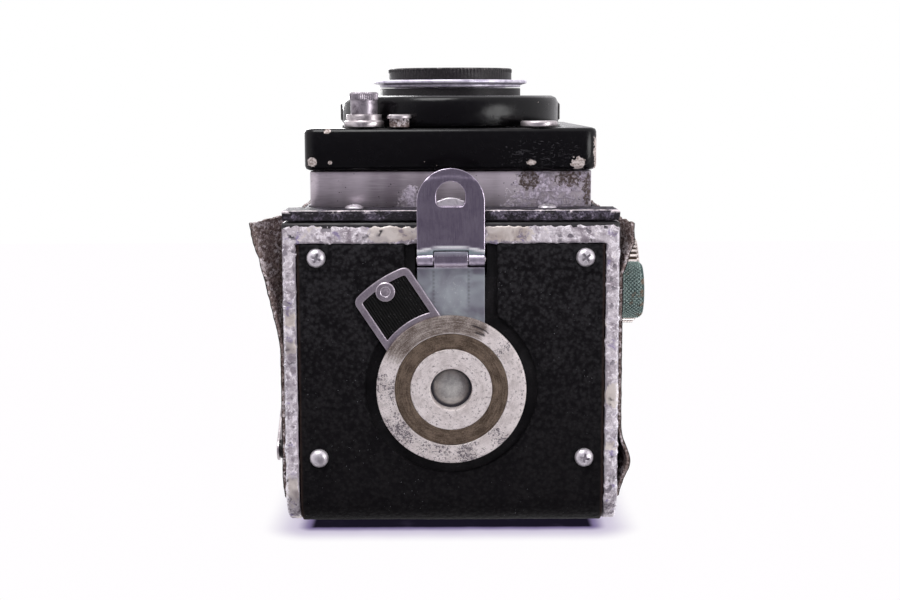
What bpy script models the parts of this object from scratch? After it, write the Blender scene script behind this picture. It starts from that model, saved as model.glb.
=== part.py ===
"""Twin lens reflex camera for 120 roll film, as an assembly of separate parts.

The camera stands upright: +Z runs up to the viewing hood, the lenses look
along -Y, and the film crank is on the -X side. Places below are millimetres
from the tripod socket's axis, on the plane that the socket's face and the
feet rest on; MM turns them into metres. At the end main() moves the whole
camera so that its origin is the middle of its bounding box's underside.
"""

import bmesh
import bpy
import math
from mathutils import Matrix, Vector

MM = 0.001
GAP = 0.3                      # clearance between neighbouring pieces
FOOTPRINT_CENTRE = (1.4, -20.25)    # X, Y of the bounding box's middle

# --- driving dimensions of the body ---
BODY_HALF_WIDTH = 38.5
WALL = 3.05
INNER_HALF = BODY_HALF_WIDTH - WALL
BASE_Z = 1.7                   # lower edge of the side walls
TOP_Z = 112.0
BACK_Y = 32.5
SKIN_Y, SKIN_Z = 33.1, 1.6      # outer face of the back door's covering
CASTING_FRONT_Y = -38.4
PLATE_FRONT_Y = -40.9
PLATE_HALF = 38.3              # of the thick lip along the base
LIP_TOP_Z = 14.6
FRAME_HALF = 36.6              # of the thin frame above the lip
FRAME_FRONT_Y = -39.3
RECESS_X = (-33.7, 33.7)       # opening that the focusing skirt slides in
RECESS_Z = (15.2, 109.5)
RECESS_CORNER = 2.5
COLLAR = 0.6                   # wall round the opening
FRONT_EDGE = 2.5               # rounding of the body's upright front edges
FRONT_SCREW_X, FRONT_SCREW_Z = 22.5, 11.5
SIDE_PIECE_X = BODY_HALF_WIDTH + GAP    # inner face of what sits on the side walls
COUNTER_Y, COUNTER_Z = -17.0, 88.0
LUG_Z = (101.5, 106.5)
CHAMBER_FRONT_Y = -33.6
FILM_PLANE_Y = 24.5
HEEL_RADIUS = 8.5

# --- optics ---
TAKING_Z = 44.5
VIEWING_Z = 87.5
HOUSING_RADIUS = 27.15
STEP_Y = -64.2                 # seat behind the front glass of each lens
PANEL_BACK_Y = -49.5
PANEL_FRONT_Y = -59.3
PANEL_HALF = 34.4
PANEL_BOTTOM_Z = 14.5
PANEL_TOP_Z = 110.2
MIRROR_LENGTH = 61.0
SCREEN_HALF = 28.2
SCREEN_WELL = ((-28.5, 28.5), (-33.0, 19.0))    # X and Y of the opening under the hood

# --- film path ---
SUPPLY_Y, SUPPLY_Z = -21.1, 15.0
TAKE_UP_Y, TAKE_UP_Z = 11.5, 85.5
SPOOL_HALF = 30.9
FLANGE_RADIUS = 11.3
LOWER_ROLLER = (20.6, 9.0)     # Y, Z
UPPER_ROLLER = (22.2, 75.3)

# --- back door and its latch ---
DOOR_HALF = 35.1
DOOR_TOP_Z = 103.5
DOOR_HINGE_Y, DOOR_HINGE_Z = 30.5, 106.8
SOCKET_RADIUS = 17.2
LATCH_HALF = 7.7
TONGUE_TIP_Y = -50.6
SOCKET_BORE = 4.8
LATCH_HINGE_Y, LATCH_HINGE_Z = -29.9, 1.6
KNUCKLE_RADIUS = 1.45
FOOT_X = 30.67
FOOT_YS = {"front": -30.26, "rear": 16.3}
LEVER_ANGLE = 236.5            # lever direction from +X, seen from above

# --- knobs ---
FOCUS_Y, FOCUS_Z = -17.6, 66.0
FOCUS_RADIUS = 12.0
FOCUS_FACE_X = 50.0
RELEASE_X, RELEASE_Z = -20.4, 19.4
LOCK_X, LOCK_Z = -12.0, 17.0
WHEEL_X, WHEEL_Z = 23.5, 68.8
CRANK_GRIP_Y, CRANK_GRIP_Z = 28.0, 60.0

# --- viewing hood: each panel folds on its own level of the stack ---
HOOD_REAR = (29.0, 115.4)      # hinge Y, Z
HOOD_LEFT = (-35.0, 116.6)     # hinge X, Z
HOOD_RIGHT = (35.0, 117.8)
HOOD_LID = (-35.0, 119.2)      # hinge Y, Z
SIDE_HEIGHT = 46.0
LID_HEIGHT = 61.0
MAGNIFIER_RADIUS = 13.0
MAGNIFIER_HINGE_Z = 171.5

ROUND = 40                     # segments of a large round piece
SMALL_ROUND = 24


def clear_scene():
    for item in list(bpy.data.objects):
        bpy.data.objects.remove(item, do_unlink=True)


def make_material(name, colour, roughness, metallic, alpha=1.0):
    material = bpy.data.materials.new(name)
    material.use_nodes = True
    shader = material.node_tree.nodes["Principled BSDF"]
    shader.inputs["Base Color"].default_value = (*colour, 1.0)
    shader.inputs["Roughness"].default_value = roughness
    shader.inputs["Metallic"].default_value = metallic
    shader.inputs["Alpha"].default_value = alpha
    return material


def make_materials():
    return {
        "alloy": make_material("cast_alloy", (0.52, 0.50, 0.52), 0.45, 0.9),
        "corroded": make_material("corroded_alloy", (0.50, 0.46, 0.50), 0.8, 0.4),
        "enamel": make_material("black_enamel", (0.012, 0.012, 0.014), 0.25, 0.0),
        "blackened": make_material("blackened_metal", (0.03, 0.03, 0.035), 0.5, 0.5),
        "nickel": make_material("nickel_plate", (0.60, 0.57, 0.56), 0.3, 1.0),
        "latch": make_material("latch_steel", (0.22, 0.20, 0.23), 0.35, 0.9),
        "chrome": make_material("chrome_trim", (0.72, 0.72, 0.74), 0.12, 1.0),
        "bronze": make_material("aged_brass", (0.20, 0.16, 0.12), 0.45, 0.8),
        "verdigris": make_material("verdigris_brass", (0.16, 0.30, 0.24), 0.75, 0.3),
        "leather": make_material("leatherette", (0.018, 0.017, 0.017), 0.6, 0.0),
        "glass": make_material("lens_glass", (0.80, 0.85, 0.92), 0.02, 0.0, 0.35),
        "ground": make_material("ground_glass", (0.85, 0.87, 0.88), 0.6, 0.0, 0.5),
        "mirror": make_material("mirror_glass", (0.90, 0.91, 0.92), 0.03, 1.0),
        "spool": make_material("spool_enamel", (0.03, 0.03, 0.03), 0.35, 0.2),
    }


def to_world(axis, across, up, along):
    """Millimetre point from two coordinates across an axis and one along it."""
    if axis == "X":
        return Vector((along, across, up)) * MM
    if axis == "Y":
        return Vector((across, along, up)) * MM
    return Vector((across, up, along)) * MM


def finish(name, bm, material, smooth=True):
    bmesh.ops.recalc_face_normals(bm, faces=bm.faces)
    mesh = bpy.data.meshes.new(name)
    bm.to_mesh(mesh)
    bm.free()
    if smooth:
        mesh.shade_smooth()
        mesh.set_sharp_from_angle(angle=math.radians(32))
    if material is not None:
        mesh.materials.append(material)
    item = bpy.data.objects.new(name, mesh)
    bpy.context.collection.objects.link(item)
    return item


def prism(name, outline, axis, low, high, material=None):
    """Extrude a closed outline, drawn across an axis, from low to high along it."""
    bm = bmesh.new()
    corners = [bm.verts.new(to_world(axis, a, b, low)) for a, b in outline]
    face = bm.faces.new(corners)
    grown = bmesh.ops.extrude_face_region(bm, geom=[face])
    moved = [item for item in grown["geom"] if isinstance(item, bmesh.types.BMVert)]
    bmesh.ops.translate(bm, verts=moved, vec=to_world(axis, 0, 0, high - low))
    return finish(name, bm, material)


def box(name, x, y, z, material=None):
    """A block from three (low, high) pairs."""
    outline = [(x[0], y[0]), (x[1], y[0]), (x[1], y[1]), (x[0], y[1])]
    return prism(name, outline, "Z", z[0], z[1], material)


def turned(name, profile, axis, centre, material=None, segments=ROUND, bored=False):
    """Revolve (radius, height) points about an axis.

    A solid profile starts and ends on the axis; a bored one is a closed loop.
    """
    bm = bmesh.new()
    rings = []
    for radius, height in profile:
        if radius == 0:
            rings.append([bm.verts.new(to_world(axis, centre[0], centre[1], height))])
            continue
        ring = []
        for step in range(segments):
            angle = 2 * math.pi * step / segments
            across = centre[0] + radius * math.cos(angle)
            up = centre[1] + radius * math.sin(angle)
            ring.append(bm.verts.new(to_world(axis, across, up, height)))
        rings.append(ring)
    pairs = list(zip(rings, rings[1:]))
    if bored:
        pairs.append((rings[-1], rings[0]))
    for first, second in pairs:
        for step in range(segments):
            after = (step + 1) % segments
            if len(first) == 1:
                bm.faces.new((first[0], second[step], second[after]))
            elif len(second) == 1:
                bm.faces.new((first[step], first[after], second[0]))
            else:
                bm.faces.new((first[step], first[after], second[after], second[step]))
    return finish(name, bm, material)


def rod(name, radius, axis, centre, low, high, material=None, segments=SMALL_ROUND):
    profile = [(0, low), (radius, low), (radius, high), (0, high)]
    return turned(name, profile, axis, centre, material, segments)


def tube(name, outer, inner, axis, centre, low, high, material=None, segments=ROUND):
    profile = [(outer, low), (outer, high), (inner, high), (inner, low)]
    return turned(name, profile, axis, centre, material, segments, bored=True)


def arc(centre, radius, start, end, steps):
    """Points along a circle, angles in degrees, both ends included."""
    points = []
    for step in range(steps + 1):
        angle = math.radians(start + (end - start) * step / steps)
        points.append((centre[0] + radius * math.cos(angle), centre[1] + radius * math.sin(angle)))
    return points


def rounded_rectangle(a, b, radius, steps=4):
    """Counter-clockwise rectangle outline with round corners."""
    points = []
    points += arc((a[1] - radius, b[1] - radius), radius, 0, 90, steps)
    points += arc((a[0] + radius, b[1] - radius), radius, 90, 180, steps)
    points += arc((a[0] + radius, b[0] + radius), radius, 180, 270, steps)
    points += arc((a[1] - radius, b[0] + radius), radius, 270, 360, steps)
    return points


def boolean(target, tool, operation, solver="EXACT"):
    modifier = target.modifiers.new(f"{operation.lower()}_{tool.name}", "BOOLEAN")
    modifier.operation = operation
    modifier.solver = solver
    modifier.object = tool
    tool.hide_render = True
    tool.display_type = "WIRE"


def cut(target, *tools, solver="EXACT"):
    for tool in tools:
        boolean(target, tool, "DIFFERENCE", solver)


def add(target, *tools, solver="EXACT"):
    for tool in tools:
        boolean(target, tool, "UNION", solver)


def bevel(target, width, segments=2, angle=40):
    modifier = target.modifiers.new("bevel", "BEVEL")
    modifier.width = width * MM
    modifier.segments = segments
    modifier.limit_method = "ANGLE"
    modifier.angle_limit = math.radians(angle)


def pivot(name, position):
    """An empty on a joint's axis; the joint's pieces hang from it."""
    empty = bpy.data.objects.new(name, None)
    empty.empty_display_size = 5 * MM
    empty.location = Vector(position) * MM
    bpy.context.collection.objects.link(empty)
    return empty


def hang(empty, *pieces):
    for piece in pieces:
        piece.parent = empty
        piece.matrix_parent_inverse = Matrix.Translation(-empty.location)


# ---------------------------------------------------------------- body

def body_outline(low_z, back_y, heel):
    """Side view of the body: square front, rounded heel at the rear base."""
    outline = [(CASTING_FRONT_Y, TOP_Z), (CASTING_FRONT_Y, low_z)]
    outline += arc((back_y - heel, low_z + heel), heel, 270, 360, 8)
    outline.append((back_y, TOP_Z))
    return outline


def light_cone():
    """Exposure chamber, widening from the lens to the film gate."""
    bm = bmesh.new()
    rings = []
    for y, half in ((CHAMBER_FRONT_Y - 0.5, 12.5), (FILM_PLANE_Y + 1.0, 28.0)):
        corners = ((-half, -half), (half, -half), (half, half), (-half, half))
        rings.append([bm.verts.new(to_world("Y", x, TAKING_Z + z, y)) for x, z in corners])
    bm.faces.new(rings[0])
    bm.faces.new(rings[1])
    for step in range(4):
        after = (step + 1) % 4
        bm.faces.new((rings[0][step], rings[0][after], rings[1][after], rings[1][step]))
    return finish("cut_light_cone", bm, None)


def edge_cutter(name, side):
    """Tool that rounds one upright front edge of the body, above the lip of the front plate."""
    centre = (side * (BODY_HALF_WIDTH - FRONT_EDGE), CASTING_FRONT_Y + FRONT_EDGE)
    start, end = (180, 270) if side < 0 else (360, 270)
    outline = arc(centre, FRONT_EDGE, start, end, 6)
    outline += [(centre[0], CASTING_FRONT_Y - 1.0), (side * (BODY_HALF_WIDTH + 1.0), CASTING_FRONT_Y - 1.0),
                (side * (BODY_HALF_WIDTH + 1.0), centre[1])]
    return prism(f"cut_edge_{name}", outline, "Z", LIP_TOP_Z, TOP_Z + 1.0)


def make_front_plate(mats):
    """Thick lip along the base, a thin frame above it, and a wall round the skirt's opening."""
    back = CASTING_FRONT_Y - GAP
    lip = rounded_rectangle((-PLATE_HALF, PLATE_HALF), (BASE_Z, LIP_TOP_Z), 2.5)
    plate = prism("front_plate", lip, "Y", PLATE_FRONT_Y, back, mats["corroded"])
    bevel(plate, 0.3)
    frame = prism("add_plate_frame", rounded_rectangle((-FRAME_HALF, FRAME_HALF), (BASE_Z + 0.5, TOP_Z), 1.5),
                  "Y", FRAME_FRONT_Y, back)
    collar = prism("add_plate_collar",
                   rounded_rectangle((RECESS_X[0] - COLLAR, RECESS_X[1] + COLLAR),
                                     (RECESS_Z[0] - COLLAR - 1.0, RECESS_Z[1] + COLLAR), RECESS_CORNER + COLLAR),
                   "Y", PLATE_FRONT_Y + 0.05, back + 0.05)
    add(plate, frame, collar, solver="MANIFOLD")
    opening = rounded_rectangle(RECESS_X, RECESS_Z, RECESS_CORNER)
    cut(plate, prism("cut_plate", opening, "Y", -45, -35), solver="MANIFOLD")
    return plate


def make_body(mats):
    casting = prism("body_casting", body_outline(BASE_Z, BACK_Y, HEEL_RADIUS), "X",
                    -BODY_HALF_WIDTH, BODY_HALF_WIDTH, mats["alloy"])
    bevel(casting, 0.7)
    inner = (-INNER_HALF, INNER_HALF)
    cut(
        casting,
        rod("cut_lower_knob", 2.5, "X", (SUPPLY_Y, SUPPLY_Z), 33, 40),
        rod("cut_upper_knob", 2.5, "X", (TAKE_UP_Y, TAKE_UP_Z), 33, 40),
        rod("cut_crank_shaft", 2.8, "X", (TAKE_UP_Y, TAKE_UP_Z), -40, -33),
        rod("cut_focus_shaft", 2.8, "X", (FOCUS_Y, FOCUS_Z), 28, 40),
        box("cut_back", inner, (FILM_PLANE_Y, 40), (-5, 109.2)),
        box("cut_base", inner, (CHAMBER_FRONT_Y, 40), (-5, 12.0)),
        rod("cut_supply", FLANGE_RADIUS + 0.5, "X", (SUPPLY_Y, SUPPLY_Z), -INNER_HALF, INNER_HALF,
            segments=32),
        light_cone(),
        rod("cut_taking_hole", 15.0, "Y", (0, TAKING_Z), -40, CHAMBER_FRONT_Y + 0.7, segments=32),
        rod("cut_take_up", 12.2, "X", (TAKE_UP_Y, TAKE_UP_Z), -INNER_HALF, INNER_HALF, segments=32),
        box("cut_take_up_back", inner, (TAKE_UP_Y, 30), (76, 98)),
        box("cut_upper_roller", inner, (19.5, 30), (73, 78)),
        prism("cut_mirror", [(CHAMBER_FRONT_Y, 63), (-30, 63), (16.5, 109.5), (CHAMBER_FRONT_Y, 109.5)],
              "X", -29, 29),
        rod("cut_viewing_hole", 15.0, "Y", (0, VIEWING_Z), -40, -33, segments=32),
        box("cut_screen", *SCREEN_WELL, (109, 113)),
        prism("cut_front_recess", rounded_rectangle(RECESS_X, RECESS_Z, RECESS_CORNER), "Y", -40, -35.3),
        edge_cutter("left", -1),
        edge_cutter("right", 1),
        solver="MANIFOLD",
    )
    for side, name in ((-1, "left"), (1, "right")):
        low, high = sorted((side * 37.5, side * 42.0))
        lug = prism(f"add_lug_{name}", rounded_rectangle((-1, 6), LUG_Z, 1.2), "X", low, high)
        slot = prism(f"cut_lug_{name}", rounded_rectangle((1, 4), (LUG_Z[0] - 1.5, LUG_Z[1] + 1.5), 0.9), "X",
                     *sorted((side * 39.0, side * 40.9)))
        add(casting, lug, solver="MANIFOLD")
        cut(casting, slot, solver="MANIFOLD")

    pieces = [casting, make_front_plate(mats)]

    seat = PLATE_FRONT_Y - 0.15
    head = [(0, seat), (2.2, seat), (2.2, seat - 0.2), (1.5, seat - 0.55), (0, seat - 0.75)]
    for side, name in ((-1, "left"), (1, "right")):
        centre = (side * FRONT_SCREW_X, FRONT_SCREW_Z)
        pieces.append(turned(f"front_plate_screw_{name}", head, "Y", centre, mats["nickel"], 20))

    catch = prism("latch_catch", rounded_rectangle((-2.2, 2.2), (0.4, 5.5), 0.6, 2), "Y",
                  -44.1, -42.1, mats["nickel"])
    add(catch, box("add_catch_foot", (-2.2, 2.2), (-43.6, PLATE_FRONT_Y - GAP), (1.6, 4.9)))
    pieces.append(catch)

    slope = Vector((1, 1)).normalized()
    low = Vector((-29.5, 64.1))
    high = low + slope * MIRROR_LENGTH
    thick = Vector((-slope.y, slope.x)) * 1.5
    outline = [low, high, high + thick, low + thick]
    pieces.append(prism("reflex_mirror", outline, "X", -SCREEN_HALF, SCREEN_HALF, mats["mirror"]))
    pieces.append(box("focusing_screen", (-SCREEN_HALF, SCREEN_HALF), (-32.7, 18.7), (110.0, 111.8),
                      mats["ground"]))

    pieces.append(rod("door_hinge_pin", 0.9, "X", (DOOR_HINGE_Y, DOOR_HINGE_Z), -INNER_HALF + GAP,
                      INNER_HALF - GAP, mats["nickel"], 16))

    hood_base = prism("hood_base", rounded_rectangle((-36.5, 36.5), (-36.5, 30.0), 2.0), "Z",
                      TOP_Z + GAP, 114.3, mats["blackened"])
    cut(hood_base, box("cut_hood_base", *SCREEN_WELL, (110, 118)))
    pieces.append(hood_base)

    base_ring = tube("lower_knob_base", 7.6, 2.7, "X", (SUPPLY_Y, SUPPLY_Z), SIDE_PIECE_X, 39.6,
                     mats["nickel"], 32)
    pieces.append(base_ring)
    scale = tube("focus_scale_plate", 13.4, 3.0, "X", (FOCUS_Y, FOCUS_Z), SIDE_PIECE_X, 39.7,
                 mats["nickel"])
    pieces.append(scale)
    window = turned("counter_window", [(0, -38.8), (4.2, -38.8), (4.2, -39.9), (3.4, -40.4), (0, -40.4)],
                    "X", (COUNTER_Y, COUNTER_Z), mats["chrome"], SMALL_ROUND)
    pieces.append(window)
    return pieces


def leather_lift_left(y, z):
    """How far the left covering stands off the wall: a peeled front lower corner."""
    forward = min(max((-y - 9.0) / 28.0, 0.0), 1.0)
    height = min(max((34.0 - z) / 30.0, 0.0), 1.0)
    return 6.6 * forward ** 1.2 * height ** 0.8


def leather_lift_right(y, z):
    """The right covering lifts at its front edge and in a small fold at the rear."""
    forward = min(max((-y - 26.0) / 7.0, 0.0), 1.0)
    height = min(max((30.0 - z) / 26.0, 0.0), 1.0)
    fold = 2.2 * math.exp(-((y - 17.5) / 4.5) ** 2)
    return (2.5 * forward + fold) * height


def leather_panel(name, side, lift, material, steps=9):
    """Covering of a side wall: a thin closed sheet that follows its lift."""
    bm = bmesh.new()
    layers = []
    for base in (SIDE_PIECE_X, SIDE_PIECE_X + 0.7):
        rows = []
        for row in range(steps + 1):
            z = 3.0 + (99.0 - 3.0) * (row / steps) ** 1.6
            points = []
            for column in range(steps + 1):
                y = -37.0 + 65.0 * column / steps
                heel = 8.0 * max(0.0, (y - 21.0) / 7.0) ** 2 * (1 - row / steps)
                points.append(bm.verts.new(Vector((side * (base + lift(y, z)), y, z + heel)) * MM))
            rows.append(points)
        layers.append(rows)
    inner, outer = layers
    for row in range(steps):
        for column in range(steps):
            for rows in (inner, outer):
                bm.faces.new((rows[row][column], rows[row][column + 1],
                              rows[row + 1][column + 1], rows[row + 1][column]))
    for step in range(steps):
        bm.faces.new((inner[0][step], inner[0][step + 1], outer[0][step + 1], outer[0][step]))
        bm.faces.new((inner[-1][step], inner[-1][step + 1], outer[-1][step + 1], outer[-1][step]))
        bm.faces.new((inner[step][0], inner[step + 1][0], outer[step + 1][0], outer[step][0]))
        bm.faces.new((inner[step][-1], inner[step + 1][-1], outer[step + 1][-1], outer[step][-1]))
    return finish(name, bm, material)


def make_side_leathers(mats):
    left = leather_panel("side_leather_left", -1, leather_lift_left, mats["leather"])
    cut(left,
        rod("cut_leather_crank", 7.4, "X", (TAKE_UP_Y, TAKE_UP_Z), -50, -30),
        rod("cut_leather_counter", 4.6, "X", (COUNTER_Y, COUNTER_Z), -50, -30))
    right = leather_panel("side_leather_right", 1, leather_lift_right, mats["leather"])
    cut(right,
        rod("cut_leather_focus", 13.8, "X", (FOCUS_Y, FOCUS_Z), 30, 50, segments=ROUND),
        rod("cut_leather_lower", 8.0, "X", (SUPPLY_Y, SUPPLY_Z), 30, 50),
        rod("cut_leather_upper", 7.1, "X", (TAKE_UP_Y, TAKE_UP_Z), 30, 50))
    return [left, right]


# ---------------------------------------------------------------- film transport

def spool(name, y, z, mats):
    """Roll film spool: a thin core between two flanges, slotted for its drive."""
    core = 4.8
    ends = SPOOL_HALF - 1.2
    profile = [(0, -SPOOL_HALF), (FLANGE_RADIUS, -SPOOL_HALF), (FLANGE_RADIUS, -ends), (core, -ends),
               (core, ends), (FLANGE_RADIUS, ends), (FLANGE_RADIUS, SPOOL_HALF), (0, SPOOL_HALF)]
    return turned(name, profile, "X", (y, z), mats["spool"], 24)


def knob(name, y, z, material):
    """Spool knob with a chamfered rim and a shaft through the wall."""
    radius, outer_x, shaft_x = 6.7, 45.1, SPOOL_HALF + GAP
    base = SIDE_PIECE_X + 1.1
    profile = [(0, shaft_x), (2.2, shaft_x), (2.2, base), (radius, base),
               (radius, outer_x - 0.8), (radius - 0.8, outer_x), (0, outer_x)]
    return turned(name, profile, "X", (y, z), material, 32)


def make_transport(mats):
    supply = spool("supply_spool", SUPPLY_Y, SUPPLY_Z, mats)
    take_up = spool("take_up_spool", TAKE_UP_Y, TAKE_UP_Z, mats)
    hang(pivot("supply_axis", (0, SUPPLY_Y, SUPPLY_Z)), supply)
    hang(pivot("take_up_axis", (0, TAKE_UP_Y, TAKE_UP_Z)), take_up)

    for name, radius, centre in (("lower", 2.4, LOWER_ROLLER), ("upper", 1.9, UPPER_ROLLER)):
        roller = rod(f"film_roller_{name}", radius, "X", centre, -31, 31, mats["nickel"])
        hang(pivot(f"{name}_roller_axis", (0, *centre)), roller)

    lower_knob = knob("lower_spool_knob", SUPPLY_Y, SUPPLY_Z, mats["verdigris"])
    upper_knob = knob("upper_spool_knob", TAKE_UP_Y, TAKE_UP_Z, mats["nickel"])
    hang(pivot("lower_knob_axis", (31.2, SUPPLY_Y, SUPPLY_Z)), lower_knob)
    hang(pivot("upper_knob_axis", (31.2, TAKE_UP_Y, TAKE_UP_Z)), upper_knob)

    focus_profile = [(0, 29.5), (2.5, 29.5), (2.5, 40.0), (10.6, 40.0), (10.6, 41.6), (FOCUS_RADIUS, 42.2),
                     (FOCUS_RADIUS, FOCUS_FACE_X - 1.0), (FOCUS_RADIUS - 1.2, FOCUS_FACE_X), (0, FOCUS_FACE_X)]
    focus = turned("focus_knob", focus_profile, "X", (FOCUS_Y, FOCUS_Z), mats["nickel"])
    hang(pivot("focus_axis", (29.5, FOCUS_Y, FOCUS_Z)), focus)

    crank_centre = (TAKE_UP_Y, TAKE_UP_Z)
    hub_profile = [(0, -31.3), (2.5, -31.3), (2.5, -39.1), (6.6, -39.1), (6.6, -42.0), (5.6, -43.0),
                   (2.6, -43.0), (2.6, -44.8), (0, -44.8)]
    hub = turned("crank_hub", hub_profile, "X", crank_centre, mats["nickel"], 24)
    hang(pivot("crank_axis", (-39.1, TAKE_UP_Y, TAKE_UP_Z)), hub)

    direction = Vector((CRANK_GRIP_Y - TAKE_UP_Y, CRANK_GRIP_Z - TAKE_UP_Z)).normalized()
    across = Vector((-direction.y, direction.x))
    root = Vector(crank_centre) - direction * 0.8
    angle = math.degrees(math.atan2(direction.y, direction.x))
    outline = [root + across * 4.2, root - across * 4.2]
    outline += arc((CRANK_GRIP_Y, CRANK_GRIP_Z), 3.1, angle - 90, angle + 90, 8)
    arm = prism("crank_arm", outline, "X", -47.2, -45.6, mats["nickel"])
    bevel(arm, 0.35)
    fold_axis = pivot("crank_fold_axis", (-46.4, TAKE_UP_Y, TAKE_UP_Z))
    hang(fold_axis, arm)
    grip_profile = [(0, -45.3), (2.2, -45.3), (2.9, -44.6), (2.4, -42.6), (2.7, -41.2), (1.8, -40.6), (0, -40.6)]
    grip = turned("crank_grip", grip_profile, "X", (CRANK_GRIP_Y, CRANK_GRIP_Z), mats["blackened"], 16)
    hang(pivot("crank_grip_axis", (-43.0, CRANK_GRIP_Y, CRANK_GRIP_Z)), grip)


# ---------------------------------------------------------------- back door

def door_section(outside, inside):
    """Side view of an L-shaped sheet that wraps the base, the heel and the back.

    outside and inside are how far its two faces lie in from the outermost skin.
    """
    front_y = CHAMBER_FRONT_Y + GAP
    centre = (SKIN_Y - HEEL_RADIUS, SKIN_Z + HEEL_RADIUS)
    points = [(front_y, SKIN_Z + outside)]
    points += arc(centre, HEEL_RADIUS - outside, 270, 360, 8)
    points += [(SKIN_Y - outside, DOOR_TOP_Z), (SKIN_Y - inside, DOOR_TOP_Z)]
    points += arc(centre, HEEL_RADIUS - inside, 360, 270, 8)
    points.append((front_y, SKIN_Z + inside))
    return points


def make_door(mats):
    shell = prism("back_door_shell", door_section(0.9, 2.0), "X", -DOOR_HALF, DOOR_HALF, mats["alloy"])
    barrel = rod("add_door_barrel", 2.0, "X", (DOOR_HINGE_Y, DOOR_HINGE_Z), -DOOR_HALF, DOOR_HALF)
    neck = box("add_door_neck", (-DOOR_HALF, DOOR_HALF), (30.7, 31.8), (103.0, 106.8))
    add(shell, neck, barrel, solver="MANIFOLD")
    cut(shell,
        rod("cut_door_bore", 1.2, "X", (DOOR_HINGE_Y, DOOR_HINGE_Z), -40, 40, segments=16),
        rod("cut_socket_seat", 8.3, "Z", (0, 0), -5, 8, segments=32),
        box("cut_latch_notch", (-8.2, 8.2), (-36, -26.0), (-5, 8)),
        solver="MANIFOLD")

    cover = prism("door_leather", door_section(0.0, 0.6), "X", -DOOR_HALF, DOOR_HALF, mats["leather"])
    cut(cover,
        rod("cut_keyhole", 19.8, "Z", (0, 0), -5, 4, segments=ROUND),
        box("cut_slot", (-10.6, 10.6), (-36, 0), (-5, 4)))

    feet = []
    for row, y in FOOT_YS.items():
        for side, x in (("left", -FOOT_X), ("right", FOOT_X)):
            for target in (shell, cover):
                hole = rod(f"cut_{target.name}_{row}_{side}", 1.5, "Z", (x, y), -5, 8, segments=12)
                cut(target, hole, solver="MANIFOLD")
            profile = [(0, 0.0), (1.1, 0.12), (1.9, 0.55), (2.15, 0.95), (2.15, 1.3), (1.2, 1.3), (1.2, 4.2),
                       (0, 4.2)]
            feet.append(turned(f"foot_screw_{row}_{side}", profile, "Z", (x, y), mats["nickel"], 12))

    plate = prism("pressure_plate", rounded_rectangle((-29.2, 29.2), (15.0, 74.0), 2.0), "Y", 25.0, 26.2,
                  mats["blackened"])
    hang(pivot("pressure_plate_axis", (0, 26.2, TAKING_Z)), plate)

    door_axis = pivot("door_axis", (0, DOOR_HINGE_Y, DOOR_HINGE_Z))
    hang(door_axis, shell, cover, *feet)
    return door_axis


def lever_point(along, across):
    """Base-plane point from a distance along the lock lever and one across it."""
    angle = math.radians(LEVER_ANGLE)
    return (along * math.cos(angle) - across * math.sin(angle),
            along * math.sin(angle) + across * math.cos(angle))


def lever_outline(start, half, radius, corner):
    """Parallel-sided finger, rounded at its corners, whose end is an arc about the socket's axis."""
    side = half - corner
    along = math.sqrt((radius - corner) ** 2 - side ** 2)
    turn = math.degrees(math.atan2(side, along))
    points = [(start, -half)]
    points += arc((along, -side), corner, -90, -turn, 3)
    points += arc((0, 0), radius, -turn, turn, 6)[1:-1]
    points += arc((along, side), corner, turn, 90, 3)
    points.append((start, half))
    return [lever_point(along, across) for along, across in points]


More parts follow.
